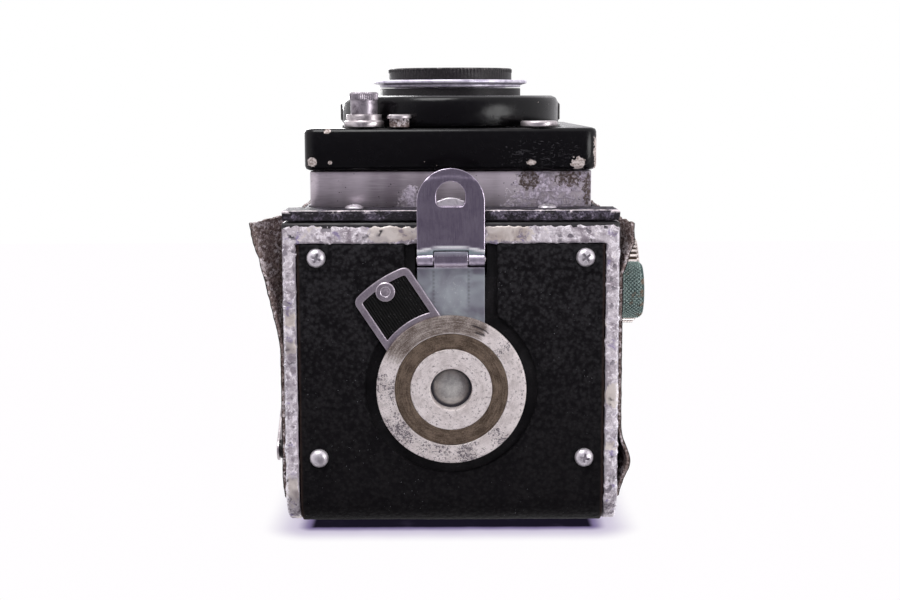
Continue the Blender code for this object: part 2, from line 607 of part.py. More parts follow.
def make_latch(mats, door_axis):
    socket_profile = [(SOCKET_BORE, 0.0), (9.3, 0.0), (9.3, 0.55), (13.1, 0.55), (13.1, 0.0), (16.8, 0.0),
                      (SOCKET_RADIUS, 0.2), (SOCKET_RADIUS, 0.6), (16.9, 0.8), (8.0, 0.8), (8.0, 8.0),
                      (0, 8.0)]
    floor_profile = [(0, 2.3), (2.4, 2.6), (3.9, 3.6), (SOCKET_BORE, 3.6)]
    socket = turned("tripod_socket", floor_profile + socket_profile, "Z", (0, 0), mats["nickel"])
    ring = tube("tripod_ring", 12.8, 9.6, "Z", (0, 0), 0.08, 0.35, mats["bronze"])
    hang(door_axis, socket, ring)

    hoop = tube("lock_lever", 16.6, 8.5, "Z", (0, 0), 1.05, 1.4, mats["nickel"])
    loop = prism("add_lever_loop", lever_outline(8.0, 7.4, 30.2, 1.8), "Z", 0.55, 1.4)
    window = prism("cut_lever_window", lever_outline(16.0, 5.6, 28.2, 0.5), "Z", -1, 3)
    clearance = rod("cut_lever_flange", SOCKET_RADIUS + GAP, "Z", (0, 0), -1, 1.05, segments=ROUND)
    cut(loop, window, clearance, solver="MANIFOLD")
    stud = rod("add_lever_stud", 2.2, "Z", lever_point(27.1, 0.0), 0.2, 1.4)
    add(hoop, loop, stud, solver="MANIFOLD")
    hang(pivot("lock_lever_axis", (0, 0, 0)), hoop)

    hinge = (LATCH_HINGE_Y, LATCH_HINGE_Z)
    arm = box("latch_arm", (-LATCH_HALF, LATCH_HALF), (-28.1, -12.5), (1.65, 2.3), mats["latch"])
    socket_gap = rod("cut_arm_socket", 10.2, "Z", (0, 0), -1, 5, segments=32)
    cut(arm, socket_gap)
    add(arm,
        rod("add_arm_knuckle", KNUCKLE_RADIUS, "X", hinge, -3.8, 3.8),
        box("add_arm_web", (-3.8, 3.8), (-29.9, -27.5), (1.65, 2.3)))
    cut(arm, rod("cut_arm_bore", 0.75, "X", hinge, -10, 10, segments=16))
    pin = rod("latch_hinge_pin", 0.6, "X", hinge, -7.9, 7.9, mats["nickel"], 16)
    slide_axis = pivot("latch_slide_axis", (0, LATCH_HINGE_Y, LATCH_HINGE_Z))
    hang(slide_axis, arm, pin)

    tip_y = TONGUE_TIP_Y + LATCH_HALF
    outline = [(LATCH_HALF, -31.0), (4.2, -31.0), (4.2, -32.0), (-4.2, -32.0), (-4.2, -31.0),
               (-LATCH_HALF, -31.0)]
    outline += arc((0, tip_y), LATCH_HALF, 180, 360, 16)
    tongue = prism("latch_tongue", outline, "Z", 0.15, 1.15, mats["latch"])
    hole = arc((0, -44.4), 3.3, 180, 360, 10)
    hole += [(3.3, -42.6), (2.7, -42.0), (-2.7, -42.0), (-3.3, -42.6)]
    cut(tongue, prism("cut_tongue_hole", hole, "Z", -2, 3))
    for side, name in ((-1, "left"), (1, "right")):
        low, high = sorted((side * 4.1, side * LATCH_HALF))
        add(tongue, rod(f"add_tongue_knuckle_{name}", KNUCKLE_RADIUS, "X", hinge, low, high))
    cut(tongue, rod("cut_tongue_bore", 0.75, "X", hinge, -10, 10, segments=16))
    hang(pivot("tongue_axis", (0, LATCH_HINGE_Y, LATCH_HINGE_Z)), tongue)


# ---------------------------------------------------------------- front standard

def lens_barrel(name, z, outer, step_radius, back_y, front_y, material):
    """Tube that holds the glass, with a narrower neck behind the shutter."""
    neck = outer - 3.5
    profile = [(outer, front_y), (outer, PANEL_FRONT_Y - GAP), (neck, PANEL_FRONT_Y - GAP),
               (neck, back_y), (step_radius - 2.0, back_y), (step_radius - 2.0, STEP_Y),
               (step_radius, STEP_Y), (step_radius, front_y)]
    return turned(name, profile, "Y", (0, z), material, ROUND, bored=True)


def bayonet(name, z, foot, lip, inner, back_y, front_y, material):
    """Filter bayonet: a ring whose lip flares at its front edge."""
    profile = [(inner, back_y), (foot, back_y), (foot, back_y - 0.5), (lip, front_y + 0.75),
               (lip, front_y + 0.2), (lip - 0.25, front_y), (inner, front_y)]
    return turned(name, profile, "Y", (0, z), material, ROUND, bored=True)


def lens_glass(name, z, radius, material):
    """Front element: convex outer face, flatter rear face."""
    profile = [(0, -64.8)]
    profile += [(radius, -65.2)]
    bulge = 2.4
    steps = 4
    for step in range(steps + 1):
        share = 1 - step / steps
        profile.append((radius * share, -66.2 - bulge * (1 - share ** 2)))
    return turned(name, profile, "Y", (0, z), material, 32)


def make_standard(mats):
    skirt = prism("standard_skirt", rounded_rectangle((-33.3, 33.3), (15.6, 109.1), 2.6), "Y", -49.2, -40.5,
                  mats["alloy"])
    cut(skirt, prism("cut_skirt", rounded_rectangle((-31.8, 31.8), (17.1, 107.6), 1.6), "Y", -52, -38))

    panel = prism("front_panel", rounded_rectangle((-PANEL_HALF, PANEL_HALF), (PANEL_BOTTOM_Z, PANEL_TOP_Z), 3.0),
                  "Y", PANEL_FRONT_Y, PANEL_BACK_Y, mats["enamel"])
    bevel(panel, 1.0)
    cut(panel,
        prism("cut_panel_back", rounded_rectangle((-32.4, 32.4), (16.5, 108.2), 1.5), "Y", -57.3, -45),
        rod("cut_panel_taking", 14.8, "Y", (0, TAKING_Z), -65, -50, segments=ROUND),
        rod("cut_panel_viewing", 12.8, "Y", (0, VIEWING_Z), -65, -50, segments=ROUND))

    r = HOUSING_RADIUS
    back = PANEL_FRONT_Y - GAP
    front = -66.85
    profile = [(18.0, back), (r, back), (r, front + 1.6), (r - 0.5, front + 0.5), (r - 1.6, front), (18.0, front)]
    housing = turned("shutter_housing", profile, "Y", (0, TAKING_Z), mats["enamel"], 56, bored=True)

    pieces = [skirt, panel, housing]
    pieces.append(lens_barrel("taking_lens_barrel", TAKING_Z, 17.7, 13.4, -52, -68.7, mats["blackened"]))
    pieces.append(bayonet("taking_bayonet", TAKING_Z, 17.7, 19.3, 15.8, -69.0, -70.7, mats["chrome"]))
    filter_profile = [(13.7, -69.0), (15.45, -69.0), (15.45, -73.3), (15.1, -73.6), (13.9, -73.6), (13.7, -73.3)]
    pieces.append(turned("taking_filter_ring", filter_profile, "Y", (0, TAKING_Z), mats["blackened"], ROUND,
                         bored=True))
    pieces.append(lens_glass("taking_lens_glass", TAKING_Z, 13.0, mats["glass"]))
    pieces.append(tube("aperture_blades", 11.0, 5.5, "Y", (0, TAKING_Z), -57.0, -56.4, mats["blackened"], 32))
    pieces.append(lens_barrel("viewing_lens_barrel", VIEWING_Z, 15.6, 13.4, -52, -68.7, mats["blackened"]))
    pieces.append(bayonet("viewing_bayonet", VIEWING_Z, 15.6, 17.2, 13.8, -69.0, -70.7, mats["chrome"]))
    pieces.append(lens_glass("viewing_lens_glass", VIEWING_Z, 13.0, mats["glass"]))

    collar_profile = [(3.7, back), (4.7, back), (4.7, -60.9), (4.2, -61.1), (4.2, -62.5), (3.7, -62.5)]
    pieces.append(turned("release_collar", collar_profile, "Y", (RELEASE_X, RELEASE_Z), mats["nickel"], 28,
                         bored=True))
    socket_profile = [(1.0, back), (4.4, back), (4.4, -60.6), (4.1, -60.9), (1.0, -60.9)]
    pieces.append(turned("sync_socket", socket_profile, "Y", (21.0, 19.2), mats["nickel"], 28, bored=True))
    hang(pivot("focus_slide_axis", (0, PANEL_BACK_Y, TAKING_Z)), *pieces)

    button_profile = [(0, -62.2), (3.4, -62.2), (3.4, -67.3), (3.0, -67.7), (0, -67.7)]
    button = turned("release_button", button_profile, "Y", (RELEASE_X, RELEASE_Z), mats["nickel"], 28)
    hang(pivot("release_axis", (RELEASE_X, -62.2, RELEASE_Z)), button)

    lock = rod("release_lock_lever", 2.9, "Y", (LOCK_X, LOCK_Z), -62.5, back, mats["blackened"])
    hang(pivot("release_lock_axis", (LOCK_X, -61.0, LOCK_Z)), lock)

    wheel_profile = [(0, back), (5.6, back), (5.6, -60.4), (6.0, -60.8), (6.0, -64.6), (5.5, -65.2), (0, -65.2)]
    for side, name in ((-1, "aperture_wheel"), (1, "shutter_wheel")):
        centre = (side * WHEEL_X, WHEEL_Z)
        wheel = turned(name, wheel_profile, "Y", centre, mats["blackened"], 32)
        hang(pivot(f"{name}_axis", (centre[0], -62.0, centre[1])), wheel)


# ---------------------------------------------------------------- viewing hood

def make_hood(mats):
    sheet = mats["blackened"]
    half_sheet = 0.4
    y, z = HOOD_REAR
    outline = [(-33.4, z - half_sheet), (33.4, z - half_sheet), (31.5, z + SIDE_HEIGHT), (-31.5, z + SIDE_HEIGHT)]
    rear = prism("hood_rear", outline, "Y", y - half_sheet, y + half_sheet, sheet)
    hang(pivot("hood_rear_axis", (0, y, z)), rear)

    for name, (x, z) in (("hood_left", HOOD_LEFT), ("hood_right", HOOD_RIGHT)):
        outline = [(-33.6, z - half_sheet), (27.8, z - half_sheet), (27.8, z + SIDE_HEIGHT - 4.0),
                   (-12.0, z + SIDE_HEIGHT), (-33.6, z + SIDE_HEIGHT + 8.0)]
        panel = prism(name, outline, "X", x - half_sheet, x + half_sheet, sheet)
        hang(pivot(f"{name}_axis", (x, 0, z)), panel)

    y, z = HOOD_LID
    lid = prism("hood_lid", rounded_rectangle((-33.8, 33.8), (z - half_sheet, z + LID_HEIGHT), 1.5), "Y",
                y - 0.6, y + 0.6, mats["enamel"])
    lens_z = MAGNIFIER_HINGE_Z - MAGNIFIER_RADIUS - 2.5
    cut(lid, rod("cut_magnifier_hole", MAGNIFIER_RADIUS + 1.0, "Y", (0, lens_z), -40, -30, segments=ROUND),
        box("cut_magnifier_hinge", (-5.4, 5.4), (-40, -30), (lens_z + 10, MAGNIFIER_HINGE_Z + 1.3)))
    hang(pivot("hood_lid_axis", (0, y, z)), lid)

    frame = tube("magnifier_frame", MAGNIFIER_RADIUS, 11.2, "Y", (0, lens_z), y - 0.6, y + 0.6,
                 mats["blackened"])
    tab = box("add_magnifier_tab", (-5.0, 5.0), (y - 0.6, y + 0.6),
              (lens_z + MAGNIFIER_RADIUS - 1.4, MAGNIFIER_HINGE_Z + 0.8))
    add(frame, tab)
    steps = 2
    lens_profile = []
    for step in range(steps + 1):
        radius = 10.9 * step / steps
        lens_profile.append((radius, y - 0.9 + 0.5 * (radius / 10.9) ** 2))
    for step in range(steps, -1, -1):
        radius = 10.9 * step / steps
        lens_profile.append((radius, y + 0.9 - 0.5 * (radius / 10.9) ** 2))
    lens = turned("magnifier_lens", lens_profile, "Y", (0, lens_z), mats["glass"], 32)
    hang(pivot("magnifier_axis", (0, y, MAGNIFIER_HINGE_Z)), frame, lens)


def centre_on_footprint():
    """Move every object that hangs on nothing; the others follow their pivots."""
    shift = Vector((*FOOTPRINT_CENTRE, 0)) * MM
    for item in bpy.data.objects:
        if item.parent is None:
            item.location -= shift


def main():
    clear_scene()
    mats = make_materials()
    make_body(mats)
    make_side_leathers(mats)
    make_transport(mats)
    door_axis = make_door(mats)
    make_latch(mats, door_axis)
    make_standard(mats)
    make_hood(mats)
    centre_on_footprint()


main()
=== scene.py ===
"""Looks of a worn twin lens reflex camera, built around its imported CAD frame.

Places are millimetres from the tripod socket's axis, in the frame's directions:
+Z runs up to the hood, the lenses look along -Y, the crank is on the -X side.
The camera that renders it looks up at the base, as if the object lay on its back.
"""

import bmesh
import bpy
import math
from mathutils import Matrix, Vector, geometry, kdtree, noise


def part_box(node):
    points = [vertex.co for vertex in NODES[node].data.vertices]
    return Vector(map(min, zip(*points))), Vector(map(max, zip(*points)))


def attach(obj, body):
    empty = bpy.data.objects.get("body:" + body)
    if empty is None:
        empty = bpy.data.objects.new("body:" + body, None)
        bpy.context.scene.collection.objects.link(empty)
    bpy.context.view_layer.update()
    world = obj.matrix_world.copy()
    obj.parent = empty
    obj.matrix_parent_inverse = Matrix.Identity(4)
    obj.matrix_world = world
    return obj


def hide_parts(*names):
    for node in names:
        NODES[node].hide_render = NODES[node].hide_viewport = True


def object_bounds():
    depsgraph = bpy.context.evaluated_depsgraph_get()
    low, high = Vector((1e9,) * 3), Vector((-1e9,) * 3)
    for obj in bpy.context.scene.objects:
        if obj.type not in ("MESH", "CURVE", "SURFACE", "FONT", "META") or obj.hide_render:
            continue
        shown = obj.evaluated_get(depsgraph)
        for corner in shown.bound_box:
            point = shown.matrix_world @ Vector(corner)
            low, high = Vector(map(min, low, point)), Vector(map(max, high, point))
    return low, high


MM = 0.001
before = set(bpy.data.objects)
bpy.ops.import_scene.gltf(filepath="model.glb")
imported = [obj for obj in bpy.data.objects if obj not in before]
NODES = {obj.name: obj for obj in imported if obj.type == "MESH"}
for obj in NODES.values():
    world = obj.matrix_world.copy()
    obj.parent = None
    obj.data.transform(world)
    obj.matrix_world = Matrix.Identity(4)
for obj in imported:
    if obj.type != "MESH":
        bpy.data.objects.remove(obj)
cad_low, cad_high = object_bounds()


def node_centre(node):
    low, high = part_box(node)
    return (low + high) / 2


AXIS = node_centre("tripod_socket")
AXIS.z = 0.0


def at(x, y, z):
    """A point of the frame, in metres, from millimetres off the socket's axis."""
    return AXIS + Vector((x, y, z)) * MM


def box_mm(node):
    """Lowest and highest corner of a CAD node, in millimetres off the socket's axis."""
    low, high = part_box(node)
    return (low - AXIS) / MM, (high - AXIS) / MM


def round_node(node, axis):
    """Centre, radius and corners of a node that is round about an axis."""
    low, high = box_mm(node)
    first, second = {"X": (1, 2), "Y": (0, 2), "Z": (0, 1)}[axis]
    wide = 2 if axis == "X" else 0
    centre = ((low[first] + high[first]) / 2, (low[second] + high[second]) / 2)
    return centre, (high[wide] - low[wide]) / 2, low, high


def linear(red, green, blue):
    """Scene colour from 8-bit display values."""
    shares = [value / 255 for value in (red, green, blue)]
    return (*[share / 12.92 if share < 0.04045 else ((share + 0.055) / 1.055) ** 2.4
              for share in shares], 1.0)


def smooth(value, low, high):
    """0 below low, 1 above high, with soft ends."""
    share = min(max((value - low) / (high - low), 0.0), 1.0)
    return share * share * (3 - 2 * share)


def rough(x, y, z, size, octaves=3):
    """Fractal noise of about -1 to 1, with features of one size in millimetres."""
    return noise.fractal(Vector((x, y, z)) / size, 1.0, 2.0, octaves)


# ---------------------------------------------------------------- materials

class Nodes:
    """Shorthand for wiring a node tree. A colour is an 8-bit triple, a linear RGBA tuple or a socket."""

    def __init__(self, tree):
        self.tree = tree

    def add(self, kind, **settings):
        node = self.tree.nodes.new(kind)
        for key, value in settings.items():
            setattr(node, key, value)
        return node

    def wire(self, socket, value):
        if isinstance(value, bpy.types.NodeSocket):
            self.tree.links.new(value, socket)
        else:
            socket.default_value = value

    def vector(self, operation, first, second=None):
        node = self.add("ShaderNodeVectorMath", operation=operation)
        self.wire(node.inputs[0], first)
        if second is not None:
            self.wire(node.inputs[1], second)
        return node.outputs["Value" if operation in ("LENGTH", "DOT_PRODUCT") else "Vector"]

    def calc(self, operation, first, second=0.0):
        node = self.add("ShaderNodeMath", operation=operation)
        self.wire(node.inputs[0], first)
        self.wire(node.inputs[1], second)
        return node.outputs[0]

    def times(self, first, second):
        return self.calc("MULTIPLY", first, second)

    def plus(self, first, second):
        return self.calc("ADD", first, second)

    def minus(self, first, second):
        return self.calc("SUBTRACT", first, second)

    def levels(self, value, low, high, start=0.0, end=1.0):
        """Stretch low..high to start..end, clamped, with soft ends."""
        node = self.add("ShaderNodeMapRange", interpolation_type="SMOOTHSTEP")
        for socket, item in zip(node.inputs, (value, low, high, start, end)):
            self.wire(socket, item)
        return node.outputs[0]

    def mix(self, first, second, share):
        """Two colours by share."""
        node = self.add("ShaderNodeMix", data_type="RGBA")
        self.wire(node.inputs[0], share)
        for socket, colour in zip(node.inputs[6:8], (first, second)):
            self.wire(socket, linear(*colour) if isinstance(colour, tuple) and len(colour) == 3 else colour)
        return node.outputs[2]

    def blend(self, first, second, share):
        """Two numbers by share."""
        node = self.add("ShaderNodeMix", data_type="FLOAT")
        for socket, value in zip((node.inputs[0], *node.inputs[2:4]), (share, first, second)):
            self.wire(socket, value)
        return node.outputs[0]


class Finish(Nodes):
    """A Principled material fed by procedural nodes, in millimetres off the socket's axis."""

    def __init__(self, name, metallic=0.0, gloss=0.5):
        self.material = bpy.data.materials.new(name)
        self.material.use_nodes = True
        super().__init__(self.material.node_tree)
        self.shader = self.tree.nodes["Principled BSDF"]
        self.shader.inputs["Metallic"].default_value = metallic
        self.shader.inputs["Specular IOR Level"].default_value = gloss
        coordinates = self.add("ShaderNodeTexCoord")
        centred = self.vector("SUBTRACT", coordinates.outputs["Object"], tuple(AXIS))
        self.space = self.vector("MULTIPLY", centred, (1 / MM,) * 3)
        self.colour = None
        self.relief = None

    def part(self, axis):
        """One coordinate, in millimetres off the socket's axis."""
        node = self.add("ShaderNodeSeparateXYZ")
        self.wire(node.inputs[0], self.space)
        return node.outputs[axis]

    def joined(self, x, y):
        """A vector of two numbers."""
        node = self.add("ShaderNodeCombineXYZ")
        for socket, value in zip(node.inputs, (x, y)):
            self.wire(socket, value)
        return node.outputs[0]

    def noise(self, size, detail=3.0, grain=0.55, bend=0.0, stretch=None, space=None):
        space = space or self.space
        node = self.add("ShaderNodeTexNoise")
        self.wire(node.inputs["Vector"], self.vector("MULTIPLY", space, stretch) if stretch else space)
        values = {"Scale": 1 / size, "Detail": detail, "Roughness": grain, "Distortion": bend}
        for socket, value in values.items():
            node.inputs[socket].default_value = value
        return node.outputs[0]

    def patches(self, low, high, size, detail=3.0, grain=0.55, bend=0.0):
        """Noise stretched from low..high to 0..1."""
        return self.levels(self.noise(size, detail, grain, bend), low, high)

    def cells(self, size):
        node = self.add("ShaderNodeTexVoronoi", feature="SMOOTH_F1")
        self.wire(node.inputs["Vector"], self.space)
        node.inputs["Scale"].default_value = 1 / size
        return node.outputs["Distance"]

    def off_centre(self, value):
        """Noise moved from 0..1 to -0.5..0.5."""
        return self.minus(value, 0.5)

    def swirled(self):
        """Noise streaked round the socket's axis; the mesh has its radius and angle painted."""
        space = self.joined(self.times(self.painted("radius"), 3.0), self.times(self.painted("angle"), 0.05))
        return self.noise(1.0, 5, 0.7, space=space)

    def painted(self, name):
        return self.add("ShaderNodeAttribute", attribute_name=name).outputs["Fac"]

    def spot(self, centre, radii, ragged=0.35):
        """1 inside an ellipsoid, 0 outside, with a ragged edge."""
        offset = self.vector("SUBTRACT", self.space, centre)
        reach = self.vector("LENGTH", self.vector("DIVIDE", offset, radii))
        wobble = self.times(self.off_centre(self.noise(0.9, 4)), ragged * 4)
        return self.levels(self.plus(reach, wobble), 1.08, 0.92)

    def any(self, masks):
        whole = masks[0]
        for mask in masks[1:]:
            whole = self.calc("MAXIMUM", whole, mask)
        return whole

    def edges(self, radius):
        """About 1 on sharp edges and 0 on flats."""
        bevel = self.add("ShaderNodeBevel", samples=4)
        bevel.inputs["Radius"].default_value = radius * MM
        plain = self.add("ShaderNodeNewGeometry").outputs["Normal"]
        return self.levels(self.vector("DOT_PRODUCT", bevel.outputs[0], plain), 0.985, 0.86)

    def bump(self, height, depth):
        """Add relief of a depth in millimetres."""
        node = self.add("ShaderNodeBump")
        node.inputs["Distance"].default_value = depth * MM
        self.wire(node.inputs["Height"], height)
        if self.relief is not None:
            self.wire(node.inputs["Normal"], self.relief)
        self.relief = node.outputs[0]

    def base(self, first, second, share):
        """Start the colour as two colours by share."""
        self.colour = self.mix(first, second, share)

    def coat(self, colour, share):
        """Lay a colour over what is there."""
        self.colour = self.mix(self.colour, colour, share)

    def done(self, roughness, metallic=None):
        self.wire(self.shader.inputs["Base Color"], self.colour)
        self.wire(self.shader.inputs["Roughness"], roughness)
        if metallic is not None:
            self.wire(self.shader.inputs["Metallic"], metallic)
        if self.relief is not None:
            self.wire(self.shader.inputs["Normal"], self.relief)
        return self.material


def leatherette():
    """Black pebbled covering: brown at its cut edges, dust caught in its grain, with painted shade in the
    grain's valleys and painted light towards the lens side.
    """
    f = Finish("leatherette", gloss=0.03)
    pebbles = f.cells(0.95)
    creases = f.noise(0.5, 4, 0.65)
    broad = f.noise(7.0, 3)
    height = f.blend(pebbles, creases, 0.5)
    f.bump(f.times(height, -1.0), 0.35)
    # painted shade: the grain's valleys are darker than its pebble tops
    lit = f.levels(f.blend(height, broad, 0.25), 0.32, 0.58)
    # painted light: the covering is lighter towards the lens side, where the light falls, and darker towards
    # the heel
    worn_and_lit = f.levels(f.part("Y"), 24.0, -30.0)
    crown = f.mix((27, 26, 27), (42, 41, 43), worn_and_lit)
    f.base(crown, (16, 15, 17), lit)
    dust = f.patches(0.76, 0.79, 0.36, 1)
    clumps = f.patches(0.45, 0.70, 9.0, 3)
    f.coat((140, 140, 145), f.times(dust, clumps))
    rim = f.levels(f.calc("ABSOLUTE", f.part("X")), 34.3, 35.1)
    base_side = f.levels(f.calc("ABSOLUTE", f.part("X")), 36.5, 36.0)
    f.coat((50, 37, 33), f.times(f.times(rim, base_side), 0.7))
    return f.done(0.75)


def peeled_leather():
    """Inner side of the lifted covering: brown backing under grey and white corrosion."""
    f = Finish("peeled_leather", gloss=0.1)
    along = (1.0, 1.0, 0.3)
    fibres = f.noise(0.8, 6, 0.75, stretch=along)
    broad = f.noise(2.6, 5, 0.7, 0.6, stretch=along)
    f.base((84, 68, 64), (160, 144, 140), f.levels(fibres, 0.38, 0.62))
    f.coat((214, 204, 206), f.levels(f.blend(broad, fibres, 0.5), 0.50, 0.57))
    f.coat((34, 24, 24), f.levels(f.blend(f.noise(1.1, 4, 0.7), fibres, 0.3), 0.55, 0.61))
    f.bump(fibres, 0.6)
    return f.done(0.9)


def corroded_alloy():
    """Aluminium under a grey and white crust, with lavender blots, pits and smooth beige stretches."""
    f = Finish("corroded_alloy", metallic=0.0, gloss=0.25)
    grains = f.noise(0.45, 5, 0.7)
    lumps = f.noise(1.7, 5, 0.65, 0.8)
    broad = f.noise(4.5, 4, 0.6, 0.7)
    f.base((136, 126, 134), (196, 188, 194), f.levels(f.blend(broad, lumps, 0.4), 0.38, 0.56))
    f.coat((230, 223, 229), f.levels(f.blend(lumps, grains, 0.4), 0.50, 0.58))
    f.coat((138, 126, 160), f.levels(f.blend(f.noise(2.6, 3), grains, 0.3), 0.57, 0.66))
    calm = f.painted("calm")
    smooth_metal = f.mix((176, 164, 158), (206, 197, 192), f.levels(broad, 0.35, 0.6))
    torn = f.times(f.off_centre(f.blend(broad, lumps, 0.5)), 5.0)
    f.coat(smooth_metal, f.levels(f.plus(calm, torn), 0.42, 0.62))
    pits = f.times(f.levels(grains, 0.39, 0.33), f.levels(lumps, 0.52, 0.42))
    pits = f.times(pits, f.minus(1.0, calm))
    f.coat((52, 44, 56), f.times(pits, 0.8))
    f.coat((24, 20, 28), f.painted("pit"))
    f.coat((104, 95, 104), f.times(f.patches(0.52, 0.66, 8.0, 3), 0.55))
    f.coat((244, 240, 246), f.times(f.painted("rim"), f.levels(grains, 0.42, 0.56)))
    strength = f.blend(1.0, 0.15, calm)
    f.bump(f.times(f.blend(grains, lumps, 0.4), strength), 0.45)
    return f.done(f.blend(0.85, 0.42, calm), f.blend(0.0, 0.3, calm))


def stained_plate():
    """Dark lens-side plate, mottled by grey and white salts, pale along its lower front edge."""
    f = Finish("stained_plate", metallic=0.3, gloss=0.3)
    grains = f.noise(0.5, 6, 0.75)
    broad = f.noise(3.2, 4, 0.65, 0.7)
    f.base((28, 24, 30), (96, 88, 104), f.levels(f.blend(grains, broad, 0.5), 0.48, 0.62))
    f.coat((170, 162, 178), f.levels(f.blend(broad, grains, 0.6), 0.58, 0.66))
    f.coat((226, 216, 220), f.times(f.painted("rim"), f.levels(grains, 0.34, 0.5)))
    f.bump(grains, 0.35)
    return f.done(f.levels(grains, 0.3, 0.7, 0.8, 0.5))


def cast_alloy():
    """Tarnished aluminium: satin, stained, with fine scratches."""
    f = Finish("cast_alloy", metallic=0.8)
    broad = f.noise(6.0, 4, 0.6, 0.5)
    scratches = f.noise(0.25, 3, 0.6, stretch=(0.12, 1.0, 1.0))
    f.base((150, 142, 150), (190, 184, 190), f.levels(broad, 0.35, 0.65))
    f.coat((100, 92, 98), f.patches(0.60, 0.72, 1.2, 5, 0.7))
    groove = f.times(f.levels(f.part("Y"), -36.6, -37.2), f.levels(f.part("Z"), 3.2, 2.4))
    f.coat((20, 16, 20), groove)
    f.bump(scratches, 0.03)
    f.bump(broad, 0.10)
    return f.done(f.levels(scratches, 0.3, 0.7, 0.38, 0.58), f.blend(0.8, 0.0, groove))


def skirt_alloy():
    """Satin sheet of the focusing skirt, with salt blooms on its right and beside the latch."""
    f = Finish("skirt_alloy", metallic=0.75)
    brushed = f.noise(0.3, 4, 0.6, stretch=(0.06, 1.0, 1.0))
    broad = f.noise(8.0, 3)
    grains = f.noise(0.7, 5, 0.75)
    clouds = f.noise(2.6, 6, 0.72, 0.3)
    banded = f.noise(9.0, 2, stretch=(1.0, 0.02, 0.02))
    f.base((146, 136, 144), (200, 190, 198),
           f.levels(f.blend(f.blend(brushed, broad, 0.5), banded, 0.6), 0.36, 0.62))
    blooms = f.any([f.spot((24.0, -42.5, 15.6), (9.5, 6.5, 9.0), 0.5),
                    f.spot((18.5, -46.8, 15.6), (3.5, 3.5, 3.0)),
                    f.spot((-9.0, -42.5, 15.6), (3.4, 3.0, 3.0)),
                    f.spot((31.5, -45.0, 18.0), (3.0, 6.0, 8.0))])
    salts = f.times(blooms, f.levels(f.blend(clouds, grains, 0.35), 0.43, 0.53))
    salt = f.mix((104, 96, 112), (204, 192, 208), f.levels(f.blend(grains, clouds, 0.35), 0.38, 0.60))
    f.coat(salt, salts)
    rust = f.any([f.spot((18.4, -47.6, 15.6), (2.2, 2.6, 2.0), 0.5),
                  f.spot((28.0, -47.4, 15.6), (3.4, 1.8, 2.0), 0.6),
                  f.spot((32.4, -45.0, 15.6), (1.2, 4.0, 2.0), 0.5)])
    f.coat((84, 70, 66), f.times(rust, f.levels(grains, 0.38, 0.52)))
    specks = f.patches(0.74, 0.77, 0.55, 1)
    f.coat((40, 34, 44), specks)
    f.bump(f.times(salts, grains), 0.5)
    f.bump(brushed, 0.02)
    return f.done(f.blend(0.42, 0.85, salts), f.blend(0.75, 0.0, salts))


def black_enamel():
    """Gloss black enamel, chipped to bare metal at corners and scratched on the right."""
    f = Finish("black_enamel", gloss=0.2)
    grains = f.noise(0.5, 5, 0.7)
    corner_chips = f.times(f.edges(0.5), f.patches(0.60, 0.68, 2.2, 4, 0.7))
    low, high = box_mm("front_panel")
    chips = f.any([corner_chips,
                   f.spot((low.x + 1.6, -51.6, low.z), (1.5, 1.1, 1.2)),
                   f.spot((low.x + 6.2, -51.4, low.z), (0.5, 0.4, 0.5)),
                   f.spot((low.x + 5.6, high.y - 9.2, low.z), (0.8, 0.6, 0.8)),
                   f.spot((18.9, -51.3, low.z), (1.0, 0.6, 0.7), 0.3),
                   f.spot((high.x - 4.6, -51.0, low.z), (1.5, 1.5, 1.0), 0.5),
                   f.spot((high.x, -53.0, low.z + 1.5), (0.8, 5.0, 2.5), 0.6)])
    dents = f.patches(0.80, 0.82, 0.7, 1)
    rubbed = f.noise(0.8, 4, 0.65, 1.5, stretch=(0.35, 1.0, 1.0))
    scratched = f.times(f.spot((22.0, -52.8, low.z), (9.0, 3.2, 3.0), 0.6), f.levels(rubbed, 0.56, 0.62))
    bare = f.mix((120, 104, 96), (214, 204, 200), f.levels(grains, 0.35, 0.6))
    f.base((9, 8, 10), (52, 50, 54), f.times(scratched, 0.7))
    f.coat(bare, f.any([chips, dents]))
    f.bump(f.times(chips, -1.0), 0.12)
    f.bump(f.noise(5.0, 2), 0.06)
    return f.done(f.blend(f.levels(f.noise(1.6, 4), 0.3, 0.7, 0.18, 0.28), 0.7, f.any([chips, scratched])))


def blackened_metal():
    """Semi-matt black finish, rubbed to metal on edges, with dust."""
    f = Finish("blackened_metal", metallic=0.2, gloss=0.35)
    grains = f.noise(0.4, 5, 0.7)
    worn_and_lit = f.times(f.edges(0.3), f.patches(0.46, 0.62, 1.4, 4))
    f.base((18, 16, 18), (42, 38, 40), f.levels(grains, 0.4, 0.7))
    f.coat((168, 160, 160), worn_and_lit)
    f.coat((150, 145, 145), f.patches(0.73, 0.78, 0.5, 2))
    f.bump(grains, 0.04)
    return f.done(f.blend(0.45, 0.3, worn_and_lit), f.blend(0.2, 0.9, worn_and_lit))


def recess_black():
    """Flat black paint inside the base recess, dusty and chipped."""
    f = Finish("recess_black", gloss=0.15)
    grains = f.noise(0.6, 5, 0.7)
    broad = f.noise(4.0, 3)
    f.base((10, 9, 11), (26, 24, 26), f.levels(f.blend(grains, broad, 0.5), 0.4, 0.65))
    dust = f.times(f.patches(0.70, 0.76, 0.4, 2), f.levels(broad, 0.5, 0.7))
    f.coat((140, 140, 145), dust)
    f.bump(grains, 0.05)
    return f.done(0.6)


